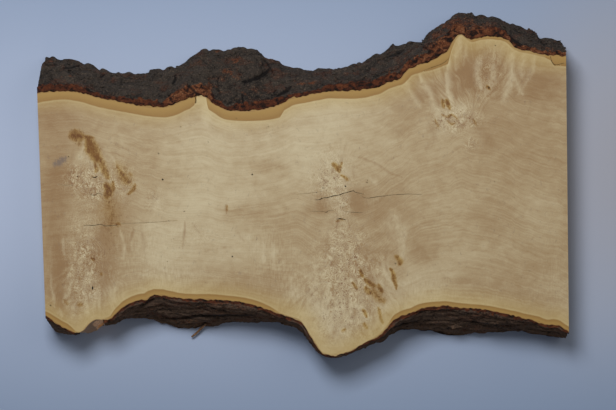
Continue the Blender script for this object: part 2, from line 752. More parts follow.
PALE_STROKES = marks_of(
    Stroke,
    (((-256, -70), (-255.5, -88), (-254, -102)), 4.5, 0.6), (((-240, -62), (-239, -80), (-240, -92)), 5, 0.5),
    (((140, 148), (139.5, 130), (139.5, 117), (143, 102)), 3.6, 1.0, 0.4),
    (((152, 168), (151, 158), (147, 146), (148, 136)), 9, 0.62),
    (((160, 163), (157, 150), (155, 140)), 5, 0.45), (((204, 152), (202, 128), (194, 102)), 7, 0.8, 0.7),
    (((203, 129), (209, 120), (214, 111)), 6, 0.6, 0.7), (((228, 152), (222, 128), (210, 111)), 9, 0.6, 2.0),
    (((216, 150), (213, 128)), 12, 0.5), (((111, 130), (118, 118), (124, 106)), 6, 0.8, 0.8),
    (((98, 122), (104, 110), (112, 98)), 8, 0.65), (((113, 128), (122, 124), (130, 122)), 5, 0.5),
    (((125, 102), (132, 88), (137, 76)), 10, 0.75), (((172, 150), (169, 132), (172, 116)), 9, 0.8),
    (((186, 140), (183, 122), (178, 110)), 8, 0.7), (((153, 100), (162, 92), (170, 88)), 8, 0.5),
    (((160, 75), (175, 72), (190, 74)), 9, 0.4), (((88, -12), (90, -22), (94, -36)), 24, 0.75, 1.2),
    (((93, -30), (95, -45), (94, -56)), 13, 0.7), (((74, -60), (82, -76), (90, -88), (92, -98)), 5, 0.9, 0.7),
    (((78, -58), (84, -66), (86, -76)), 5, 0.8), (((60, 0), (66, 6), (72, 4)), 5, 0.45),
    (((62, 27), (68, 22)), 7, 0.7), (((30, 8), (33, -4), (31, -14)), 12, 0.6),
    (((16, 38), (22, 28), (18, 18)), 16, 0.55), (((34, 20), (46, 16), (50, 12)), 8, 0.5),
    (((20, -30), (30, -40), (44, -42)), 14, 0.45), (((6, -60), (10, -76), (2, -96)), 8, 0.6),
    (((20, -72), (16, -92), (8, -112)), 5, 0.55), (((34, -88), (30, -108), (22, -128)), 9, 0.6),
    (((52, -88), (54, -104), (48, -122)), 6, 0.55), (((64, -98), (70, -112), (66, -124)), 7, 0.6),
    (((44, -96), (42, -112), (38, -134)), 4, 0.5), (((12, -98), (8, -120), (14, -136)), 8, 0.4),
    (((-58, -28), (-58, -36)), 5, 0.8), (((-45, -38), (-44, -58)), 4.5, 0.9),
    (((-36, -38), (-34, -64)), 4, 0.8), (((-17, -71), (-14, -98)), 4.6, 0.8),
    (((-26, -50), (-25, -66)), 3, 0.5), (((-98, 108), (-100, 96), (-101, 80)), 11, 0.95),
    (((-98, -14), (-97, -26)), 13, 0.5), (((-187, -26), (-183, -42), (-185, -54)), 4, 0.7),
    (((-178, -28), (-176, -46)), 3.4, 0.6), (((-192, -30), (-190, -48)), 3, 0.5),
    (((-155, 10), (-150, 2), (-152, -8)), 9, 0.6), (((-224, 58), (-228, 46), (-232, 38)), 9, 0.7, 2.0),
    (((-216, 54), (-216, 40), (-208, 30)), 9, 0.55), (((-203, 33), (-199, 28), (-196, 22)), 4, 0.8),
    (((-197, 48), (-190, 38), (-186, 30)), 3.6, 0.6), (((-245, -33), (-243, -51)), 4, 0.7),
    (((-235, -74), (-240, -88), (-245, -98)), 5.5, 0.8, 1.6),
    (((-258, -40), (-257, -64), (-256, -84)), 5, 0.4), (((-248, -104), (-246, -112)), 5, 0.7),
    (((-222, -78), (-226, -94), (-224, -106)), 3, 0.6), (((-212, -80), (-210, -98), (-203, -110)), 3.4, 0.6),
    (((-200, -74), (-196, -92), (-192, -100)), 3, 0.6), (((-238, -30), (-236, -52), (-232, -74)), 12, 0.4),
    (((236, -60), (240, -88)), 4, 0.4), (((212, -92), (222, -108)), 3, 0.4),
)
TAN_STROKES = marks_of(
    Stroke,
    (((-250, -58), (-249, -84), (-247, -104)), 7, 0.75), (((-205, -84), (-206, -100), (-208, -108)), 4, 0.6),
    (((-250, -32), (-247, -66), (-247, -104)), 8, 0.75, 1.4),
    (((-256, 20), (-258, -20), (-262, -60)), 10, 0.5), (((-234, 58), (-236, 42), (-232, 34)), 7, 0.5),
    (((-174, -24), (-176, -30), (-178, -36)), 3, 0.9), (((-168, -20), (-164, -36), (-166, -50)), 8, 0.5),
    (((-204, -22), (-203, -50), (-205, -82)), 22, 1.0), (((-207, -72), (-206, -98), (-206, -112)), 3, 0.8),
    (((-222, -84), (-219, -100), (-218, -110)), 3, 0.6), (((-190, -76), (-186, -92), (-184, -100)), 4, 0.5),
    (((-232, -84), (-232, -104)), 3.4, 0.6), (((-81.5, 1), (-81.5, -8)), 3, 0.9),
    (((-124, -16), (-125, -44)), 3, 0.7), (((-116, -18), (-108, -28)), 3, 0.6),
    (((-132, -47), (-108, -49)), 2, 0.5), (((-104, -47), (-74, -40)), 3, 0.5),
    (((-72, -26), (-64, -36)), 6, 0.6), (((-142, -66), (-142, -76)), 2.4, 0.7),
    (((-126, -68), (-126, -78)), 2.4, 0.7), (((49, 11), (49, -5)), 19, 1.1), (((14, 9), (14, -5)), 18, 0.9),
    (((46, 50), (62, 44), (80, 34), (94, 27.5)), 5, 0.7, 2.2), (((30, 48), (38, 42), (46, 28)), 9, 0.5),
    (((50, -40), (62, -50), (72, -60)), 14, 0.6), (((60, -70), (68, -84), (74, -98)), 16, 0.75),
    (((18, -26), (20, -40), (16, -54)), 5, 0.6), (((10, -66), (14, -84), (12, -104)), 5, 0.55),
    (((26, -70), (24, -90), (18, -108)), 4, 0.6), (((38, -72), (40, -92), (36, -112)), 4.6, 0.55),
    (((0, -70), (-2, -92), (-4, -108)), 5, 0.45), (((47, -100), (48, -116), (44, -130)), 4, 0.6),
    (((84, -74), (92, -92), (96, -102)), 6, 0.6), (((106, -34), (112, -48), (122, -54)), 12, 0.5),
    (((80, -46), (78, -56), (80, -66)), 5, 0.6), (((104, 122), (110, 112), (116, 104)), 9, 0.8, 1.6),
    (((118, 128), (126, 114), (132, 100)), 8, 0.7, 1.4), (((146, 146), (146, 126), (150, 108)), 11, 0.8, 2.5),
    (((160, 146), (162, 130), (156, 118)), 12, 0.55), (((122, 84), (126, 70), (118, 56)), 14, 0.55),
    (((88, 74), (94, 70), (100, 74)), 11, 0.6), (((165, 92), (158, 82), (154, 76)), 8, 0.75),
    (((172, 78), (180, 68), (184, 58)), 18, 0.6, 1.5), (((190, 130), (192, 116), (188, 104)), 7, 0.6),
    (((208, 146), (207, 134)), 6, 0.6), (((217, 128), (214, 118)), 7, 0.5),
    (((226, 130), (240, 112), (250, 104)), 24, 0.55), (((-44, 42), (-26, 38)), 9, 0.45),
    (((210, -88), (218, -108)), 6, 0.3), (((-202, 65), (-184, 56), (-166, 46)), 2.4, 0.6),
    (((-197, 60), (-180, 51), (-160, 41)), 2, 0.5), (((-206, 70), (-190, 60), (-176, 54)), 2, 0.5),
    (((-190, 50), (-172, 42), (-152, 36)), 3, 0.5), (((-214, 66), (-206, 56), (-200, 44)), 5, 0.5),
    (((-238, 22), (-244, 30), (-240, 38)), 5, 0.45),
)
STAINS = marks_of(
    Stroke,
    (((-236, 71), (-231, 69.5), (-226, 68)), 8.5, 1.15), (((-232.5, 76), (-231, 70)), 2, 1.2),
    (((-228, 69), (-220, 68), (-214, 67)), 3, 1.1),
    (((-220, 66), (-217, 58), (-213, 50), (-209.5, 45)), 10, 1.25),
    (((-221, 60), (-219, 54), (-214, 49)), 7, 1.0), (((-205, 45), (-203, 36), (-201, 28)), 7, 0.55),
    (((-230, 65), (-228, 60)), 6, 0.45), (((-200, 6), (-198, -8), (-196, -19)), 22, 0.5),
    (((-196, -24), (-193, -34)), 24, 0.24), (((-190, 40), (-184, 32), (-178, 22)), 14, 0.46),
    (((-216, 52), (-211, 47)), 8, 1.1), (((-208, 46), (-203, 34), (-200, 27)), 6.5, 0.85),
    (((-213, 42), (-211, 36), (-212, 32)), 4, 0.8), (((-202, 20), (-199, 15), (-202, 8)), 8, 1.1),
    (((-195, 24), (-194, 15)), 3.6, 0.95), (((-186, 33), (-183, 27), (-181, 24)), 9, 0.75),
    (((-190, 38), (-187, 34)), 4, 0.7), (((-173, 21), (-175, 16), (-180, 11)), 3.6, 0.9),
    (((-191, -20.4), (-189, -21)), 4, 1.1), (((-178, 32), (-177, 29)), 4, 0.65),
    (((25, 43), (28, 40), (32, 33)), 3.6, 0.95), (((33, 43), (32, 35)), 2.4, 0.8),
    (((33, 30), (38, 27), (40, 24)), 3, 0.8), (((28, -16), (38, -15)), 1.6, 0.8),
    (((52, -66), (54, -71)), 3.4, 1.0), (((56, -73), (62, -78), (68, -81)), 4.5, 1.05),
    (((57, -82), (60, -86), (64, -88)), 5, 0.95), (((66, -84), (70, -92), (76, -96)), 9, 0.62),
    (((71, -79), (74, -87)), 3.4, 0.95), (((70, -103), (72, -110), (75, -118)), 3, 0.9),
    (((55, -104), (58, -112)), 3, 0.95), (((34, -126), (38, -124)), 3.4, 0.7),
    (((56, -118), (60, -124)), 3.4, 0.75), (((44, -78), (48, -84)), 3, 0.75),
    (((83, -64), (86, -68), (86, -76), (88, -84)), 3.6, 1.0), (((88, -51), (93, -56), (92, -59)), 4.6, 0.95),
    (((134, 106), (136, 98)), 3, 0.9), (((138, 106), (142, 96)), 3.6, 1.0),
    (((134, 91), (139, 88), (144, 90), (150, 85)), 2.4, 0.7), (((138, 84), (143, 80), (147, 82)), 2.2, 0.6),
    (((179, 118.5), (182, 116)), 3, 1.2), (((127, 86), (131, 78)), 2.4, 0.55),
    (((165, 86), (168, 80)), 2.4, 0.6), (((-230, -99), (-226, -100)), 4, 0.65),
    (((-244, -96), (-240, -99)), 4, 0.5), (((-216, -53), (-214, -55)), 2.6, 0.9),
    (((-207, -67), (-206, -70)), 2.4, 0.9), (((-81, 0), (-81, -6)), 2, 0.7),
)
GREY_STAINS = marks_of(
    Stroke,
    (((-254, 41), (-248, 43.5), (-241, 48)), 6, 0.9), (((-246, 45), (-240, 48.5)), 5, 0.7),
)
BURLS = marks_of(
    Patch,
    (-235, 28, 22, 24, 1.2), (-214, 22, 30, 42, 1.1), (-222, -62, 42, 84, 1.2), (22, 28, 36, 44, 1.1),
    (34, -2, 16, 34, 0.9), (34, -38, 30, 26, 0.5), (40, -66, 66, 70, 1.1), (36, -112, 70, 50, 0.75),
    (142, 86, 34, 26, 1.1), (178, 130, 30, 48, 0.8), (164, 60, 16, 12, 0.7), (-186, 22, 26, 34, 0.7),
    (-153, 4, 16, 20, 0.7), (160, 86, 26, 18, 0.7), (-110, -30, 50, 24, 0.35),
)
FANS = marks_of(
    Fan,
    (40, -30, -92, 95, 125, 0.85), (166, 84, 100, 120, 100, 0.8), (-218, -20, -92, 64, 110, 0.8),
    (-222, 66, -85, 60, 70, 0.45), (30, 20, 85, 90, 50, 0.4),
)
RAYS = marks_of(
    Patch,
    (-135, -75, 60, 34, 0.7), (-36, -48, 50, 60, 0.7), (-14, -85, 50, 50, 0.8), (118, -88, 60, 36, 0.7),
    (195, -95, 90, 40, 0.4), (-240, -60, 60, 150, 0.5), (-170, -50, 70, 70, 0.6), (245, -70, 30, 90, 0.4),
    (54, 2, 34, 20, 0.8), (-75, -85, 60, 30, 0.6),
)
# Round eyes of the burl, as (x, y, radius)
EYES = (
    (-235, 29, 5), (-218.4, 16, 5.5), (14.6, 24.7, 4.5), (34.5, -21, 6.3), (24.9, -55.8, 4),
    (14.6, -62.9, 3.4), (4.9, -84.8, 3.8), (129.5, 82.5, 2.4), (166.6, 83.7, 2.0), (163, 57.5, 3),
    (-227, -44, 4), (26, 38, 4), (-236, 30, 2.4), (14, 25, 1.8), (-218, 16, 2.6), (140, 88, 1.6),
    (147, 86, 1.6), (30, 34, 2.6), (150, 81, 1.8),
)
CRACKS = marks_of(
    Crack,
    (((6, 5.2), (12, 5.6), (16, 7), (20, 7.4), (24, 8.8), (30, 9.8), (36, 12), (45, 14.2), (47, 12.9),
      (57, 10.4)), 0.7),
    (((52, 9.5), (58, 7.2), (64, 7.4), (71, 8.6), (76, 8.9), (84, 10.2), (104, 10.8), (114, 10.6)), 0.42),
    (((-13, 10.5), (2, 12), (14, 13.6)), 0.2, 3, 0.3),
    (((-224.5, -20.8), (-221, -20.2), (-215, -20.5), (-209, -19.4), (-203, -20.9), (-197, -20.4),
      (-189, -20.8)), 0.5),
    (((-187, -18.6), (-170, -18), (-150, -17), (-131, -15.4)), 0.22, 3, 0.3),
    (((242.6, 149.4), (243.2, 145), (244.6, 142), (248, 140), (257.2, 142.2)), 0.6, 5, 0.2),
    (((114, 133.5), (124, 137.6), (133, 140.8), (138, 144), (141.6, 147.6)), 0.4, 4, 0.2),
    (((-113, 108.8), (-112, 104.5), (-112.6, 101.5)), 0.9, 6, 0.2),
    (((0.4, -6.2), (14.7, -6.4), (17.8, -7.5), (21, -5.5), (26, -5.4)), 0.34, 2.5, 0.2),
    (((36, -6.4), (47.7, -7.5), (56.6, -7.5)), 0.3, 2.5, 0.2),
    (((-251, 20.5), (-243, 19.8), (-235.6, 20)), 0.22, 2.5, 0.2),
    (((28, -14.2), (33, -13.8), (38, -14.8)), 0.8, 3, 0.1),
    (((-216.5, 28.6), (-213, 27.6), (-210.5, 29)), 0.8, 3, 0.2),
    (((-219, 11), (-213.5, 9.6), (-210, 12), (-205, 10.2)), 0.5, 3, 0.2),
)
HOLES = marks_of(
    Hole,
    (-145.3, 25.5, 0.85), (-55.8, 30.5, 0.8), (-75.7, -51.5, 0.75), (-149.4, 51.4, 0.6), (-99.6, 63, 0.45),
    (-127.2, 78.2, 0.5), (-39.6, 78.4, 0.45), (-71.6, 86.8, 0.4), (-140.7, -56.4, 0.45), (-123.6, -6.2, 0.4),
    (-134.3, -33.5, 0.4), (-215.4, -83, 0.7, 2.6), (-257.4, -100.4, 0.65), (37.4, 18.7, 0.75), (15, 17, 0.6),
    (59, 22.6, 0.55), (59.4, 24.8, 0.4), (187.3, 159.6, 0.55), (180.8, 117.3, 0.7), (87.5, -58.6, 0.6),
    (186.5, 23.4, 0.45), (206.4, 7.6, 0.45), (190.4, -14, 0.4), (-239.4, 48.4, 0.5), (-228, 48, 0.45),
    (-230.4, 28.6, 0.6), (35, -2.4, 0.4),
)
# Torn places on the bark, where its red-brown inside shows
TORN_PATCHES = marks_of(
    Patch,
    (150, 184, 44, 18, 0.85, -4), (130, 168, 30, 16, 0.75, 35), (186, 174, 34, 16, 0.6, -20),
    (-100, 118, 18, 12, 0.9), (-73, 147, 11, 8, 1.0, 20), (-86, 138, 14, 10, 0.6, 20), (-79, 134, 6, 7, 0.75),
    (-88, 127, 8, 9, 0.6, 40), (-72, 129, 16, 8, 0.55), (-2, 122, 24, 3.6, 1.0, 5), (-262, 150, 12, 12, 0.45),
    (-92, 157, 12, 4, 0.7), (-165, 143, 16, 4, 0.5, -20), (-122, -119, 46, 6, 0.6, -3),
    (-94, -97, 40, 2.6, 0.9, -3), (-60, 112, 40, 14, 0.4, 10), (-68, -104, 60, 8, 0.45, -8),
    (129, 173, 5, 4, 0.8, 40), (146, 180, 16, 3, 0.7, 5), (118, 156, 14, 6, 0.7, 40), (165, 178, 16, 5, 0.5),
    (240, 157, 34, 5, 0.7, -8), (98, 147, 10, 6, 0.6, 45), (-236, 130, 20, 5, 0.6), (-259, 158, 10, 5, 0.5),
    (-262, 146, 6, 4, 0.6), (-205, -119, 6, 6, 0.9), (84, -121, 12, 5, 0.6, 30),
)
# Deep creases between the bark's plates, seen from above
BARK_CREASES = marks_of(
    Stroke,
    (((-66, 124), (-56, 126), (-46, 131), (-40, 138)), 4, 1.0),
    (((-31, 109), (-24, 113), (-17, 119)), 3.4, 1.0), (((-66, 111), (-65.5, 105), (-64, 99)), 2, 0.8),
    (((-134, 132), (-134, 127), (-136, 122)), 2.6, 0.9), (((-121, 121), (-114, 114), (-110, 109)), 2.6, 1.0),
    (((-110, 110), (-109, 106)), 5, 1.2), (((-208, 133), (-209, 130)), 2.6, 0.8),
    (((-247, 139), (-240, 139), (-233, 143)), 2.4, 0.8), (((-269, 145), (-263, 142), (-256, 143)), 2.2, 0.7),
    (((-90, 130), (-91, 120), (-88, 112)), 2, 0.6), (((-45, 150), (-40, 142), (-36, 134)), 2.4, 0.7),
    (((74, 148), (86, 152), (96, 158)), 2.4, 0.7), (((115, 160), (122, 154), (128, 152)), 3, 0.8),
    (((202, 170), (208, 163), (214, 160)), 4, 1.0), (((232, 166), (238, 162), (243, 164)), 2.6, 0.8),
    (((38, 122), (50, 124), (60, 130)), 2.2, 0.6),
    (((-150, -115.6), (-126, -115), (-108, -112), (-90, -111.4), (-53, -111)), 2.6, 0.9),
    (((-168, -103), (-161, -98), (-154, -95)), 2, 0.7), (((86, -123.5), (98, -120), (113, -116.4)), 2.2, 0.7),
    (((150, -116), (175, -119), (205, -121)), 2, 0.6),
)
# How far the bark is pushed out beyond its solid, as (place along the slab, height)
UPPER_SWELL = (
    (-175.0, 0.0), (-164.0, 2.4), (-154.0, 0.0), (-86.0, 0.0), (-79.0, 1.3), (-54.0, 2.0), (-46.0, 0.0),
    (224.0, 0.0), (231.0, 2.6), (238.0, 0.0), (250.0, 0.0), (255.0, 1.4),
)
LOWER_SWELL = (
    (-216.0, 2.0), (-192.0, 2.0), (-180.0, 0.0), (-110.0, 0.0), (-98.0, 2.0), (-52.0, 2.0), (-40.0, 0.0),
    (165.0, 0.0), (178.0, 2.4), (206.0, 2.4), (218.0, 0.0),
)
# Sap band's width along each edge, as (place along the slab, width)
UPPER_SAP = (
    (-271, 9.5), (-245, 8), (-205, 9), (-165, 9), (-135, 10.5), (-118, 10), (-113, 7), (-111, 0), (-102, 0),
    (-100, 7), (-90, 9), (-60, 10), (-28, 12), (-24, 7), (-10, 7), (20, 7), (60, 8), (90, 5), (118, 8),
    (135, 10), (140, 11), (143, 3), (152, 1), (158, 1), (164, 2.5), (190, 3), (205, 2), (236, 2), (243, 5),
    (246, 10), (258, 10),
)
LOWER_SAP = (
    (-262, 4), (-240, 5), (-232, 2), (-226, 0.6), (-206, 0.6), (-198, 2.5), (-186, 5), (-170, 6), (-153, 6),
    (-120, 5), (-50, 5), (-38, 4), (-28, 1), (60, 0.8), (80, 1.6), (86, 4), (100, 5), (128, 4.6), (200, 4.6),
    (240, 5), (261, 4),
)
# Width of the red-brown band of sawn bark along each edge, as (place along the slab, width)
UPPER_CUT = (
    (-263, 7), (-218, 7), (-208, 3), (-171, 7), (-148, 5), (-136, 10), (-122, 13), (-110, 12), (-98, 12),
    (-90, 5), (-80, 4), (-68, 8), (-30, 8), (-22, 4), (14, 4), (22, 8), (52, 8), (110, 9), (119, 9),
    (125, 16), (147, 17), (155, 10), (197, 10), (205, 4), (258, 4),
)
LOWER_CUT = ((-262, 2.6), (-186, 2), (-30, 2.6), (60, 2), (90, 3), (262, 2))
# How orange that band is, as (place along the slab, share)
UPPER_WARM = (
    (-263, 0.3), (-145, 0.35), (-136, 0.9), (-98, 0.9), (-90, 0.3), (70, 0.35), (118, 0.8), (150, 0.8),
    (190, 0.6), (205, 0.8), (258, 0.8),
)
# Wander of the wood's tone, of the borders of the chip's facets, of the chip's surface, and of the bark's
# sawn face and border
TONE_WAVES = ((0.35, (60, 45, 60), 5.0),)
FACET_WAVES = ((9.0, (9, 9, 15), 7.0),)
CHIP_WAVES = ((1.1, (5, 5, 14), 41.0), (0.5, (1.6, 1.6, 6), 43.0))
SAWN_WAVES = ((0.35, (1.6, 1.6, 1.6), 61.0), (0.5, (5, 3, 5), 63.0))
BORDER_WAVES = ((3.2, (6, 6, 6), 71.0), (1.8, (2.2, 2.2, 2.2), 73.0))
# Where the bark has chipped away, and where the wood behind it turns from its dark facet and to orange
CHIP_START = (-235.0, -233.0)
CHIP_STOP = (-204.0, -207.0)
CHIP_FACET = (-220.0, -214.0)
CHIP_ORANGE = (-217.0, -212.0)
# How far the growth rings sag between the two edges, as (place along the slab, reach, depth)
RING_SAGS = ((-105.0, 70.0, 20.0), (130.0, 90.0, -16.0), (-228.0, 46.0, -24.0))
# No flake lies on the bark lower than this, in millimetres
LOWEST_FLAKE = 8.0


def ragged(x: np.ndarray, seed: float) -> np.ndarray:
    """How far the wood's edge wanders off its smooth line, in millimetres, at each place along the slab."""
    spots = np.column_stack([x, np.zeros_like(x), np.zeros_like(x)])
    return noise_sum(spots, ((1.3, (2.8, 1, 1), seed), (0.8, (8, 1, 1), seed + 3)))


def node_points(name: str) -> np.ndarray:
    """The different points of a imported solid's mesh, in millimetres."""
    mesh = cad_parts[name].data
    flat = np.empty(len(mesh.vertices) * 3, np.float32)
    mesh.vertices.foreach_get("co", flat)
    return np.unique(np.round(flat.reshape(-1, 3).astype(float) / MM, 3), axis=0)


def rows_by_level(points: np.ndarray) -> list[np.ndarray]:
    """Points sorted into levels, the highest first, and along the slab in each level."""
    levels: list[list[np.ndarray]] = []
    for point in points[np.argsort(-points[:, 2])]:
        if not levels or levels[-1][-1][2] - point[2] > 0.5:
            levels.append([])
        levels[-1].append(point)
    return [np.array(sorted(level, key=lambda p: p[0])) for level in levels]


class Side(Enum):
    """The two live edges."""

    UPPER = 1
    LOWER = -1


@dataclass
class SlabNet:
    """The wood's two live sides as rows of points read from its solid."""

    sides: dict[Side, np.ndarray] = field(default_factory=dict)
    shares: dict[Side, np.ndarray] = field(default_factory=dict)

    @classmethod
    def read(cls) -> "SlabNet":
        """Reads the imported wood."""
        levels = rows_by_level(node_points("burl_wood"))
        net = cls()
        for side in Side:
            net.sides[side] = np.array([row[np.sign(row[:, 1]) == side.value] for row in levels])
        left = [net.sides[side][0, 0, :2] for side in Side]
        right = [net.sides[side][0, -1, :2] for side in Side]
        for side in Side:
            x, y = net.sides[side][0, :, 0], net.sides[side][0, :, 1]
            low, high = cls._end(left, y), cls._end(right, y)
            net.shares[side] = (x - low) / (high - low)
        return net

    @staticmethod
    def _end(line: list[np.ndarray], y: np.ndarray) -> np.ndarray:
        """Place along the slab of a crosscut end at each height of the face."""
        (x0, y0), (x1, y1) = line
        return x0 + (x1 - x0) * (y - y0) / (y1 - y0)

    def side_points(self, side: Side, share: np.ndarray, down: np.ndarray, rough: float = 1.0) -> np.ndarray:
        """Points of a live side.

        Args:
            side: Which side.
            share: Shares of the way along the slab.
            down: Shares of the way from the face to the underside.
            rough: How much of the edge's small wander is added.

        Returns:
            Points, with one row for each depth and one column for each share.
        """
        rows = self.sides[side]
        stations = np.interp(share, self.shares[side], np.arange(rows.shape[1]))
        along = catmull(np.swapaxes(rows, 0, 1), stations)
        points = catmull(np.swapaxes(along, 0, 1), down * (len(rows) - 1))
        points[:, :, 1] += rough * ragged(points[0, :, 0], float(side.value))
        points[:, :, 2] = (rows[0, 0, 2] * (1 - down))[:, None]
        return points


def set_attribute(mesh: bpy.types.Mesh, name: str, values: np.ndarray) -> None:
    """Stores a number at each point of a mesh."""
    mesh.attributes.new(name, "FLOAT", "POINT").data.foreach_set("value", np.asarray(values, np.float32))


def linked(name: str, data: Any) -> bpy.types.Object:
    """A new object with its data, in the scene."""
    made = bpy.data.objects.new(name, data)
    bpy.context.scene.collection.objects.link(made)
    return made


def mesh_object(
    name: str, points: np.ndarray, faces: Sequence[Sequence[int]], finish: bpy.types.Material
) -> bpy.types.Object:
    """Makes an object from points in millimetres.

    Args:
        name: The object's name.
        points: One point in each row.
        faces: Point numbers of each face.
        finish: The object's material.

    Returns:
        The new object, smooth shaded.
    """
    mesh = bpy.data.meshes.new(name)
    mesh.from_pydata((points * MM).tolist(), [], [list(map(int, face)) for face in faces])
    mesh.materials.append(finish)
    mesh.shade_smooth()
    return linked(name, mesh)


def store_outward(bm: bmesh.types.BMesh, mesh: bpy.types.Mesh) -> None:
    """Turns a closed body's faces outward, stores it and frees it."""
    if bm.calc_volume(signed=True) < 0:
        bmesh.ops.reverse_faces(bm, faces=bm.faces)
    bm.to_mesh(mesh)
    bm.free()


def quads_over(index: np.ndarray) -> np.ndarray:
    """Four-sided faces over a grid of point numbers."""
    corners = (index[:-1, :-1], index[:-1, 1:], index[1:, 1:], index[1:, :-1])
    return np.stack(corners, axis=-1).reshape(-1, 4)


def grid_faces(index: np.ndarray, outward: np.ndarray, points: np.ndarray) -> list[np.ndarray]:
    """Four-sided faces over a grid of point numbers, turned to face outward.

    Args:
        index: Grid of point numbers.
        outward: Rough direction that the faces look in.
        points: The points.

    Returns:
        The faces.
    """
    quads = quads_over(index)
    normals = np.cross(points[quads[:, 1]] - points[quads[:, 0]], points[quads[:, 3]] - points[quads[:, 0]])
    if float(normals.sum(axis=0) @ outward) < 0:
        quads = quads[:, ::-1]
    return list(quads)


def nearest_distance(x: np.ndarray, y: np.ndarray, line: np.ndarray) -> np.ndarray:
    """Distance from each place to a line of points, in millimetres."""
    start, stop = line[:-1, :2], line[1:, :2]
    step = stop - start
    length = (step ** 2).sum(axis=1)
    best = np.full(len(x), FAR)
    at_once = 4000
    for first in range(0, len(x), at_once):
        part = slice(first, first + at_once)
        dx = x[part, None] - start[None, :, 0]
        dy = y[part, None] - start[None, :, 1]
        t = np.clip((dx * step[:, 0] + dy * step[:, 1]) / length, 0, 1)
        gap = np.hypot(dx - t * step[:, 0], dy - t * step[:, 1])
        best[part] = gap.min(axis=1)
    return best


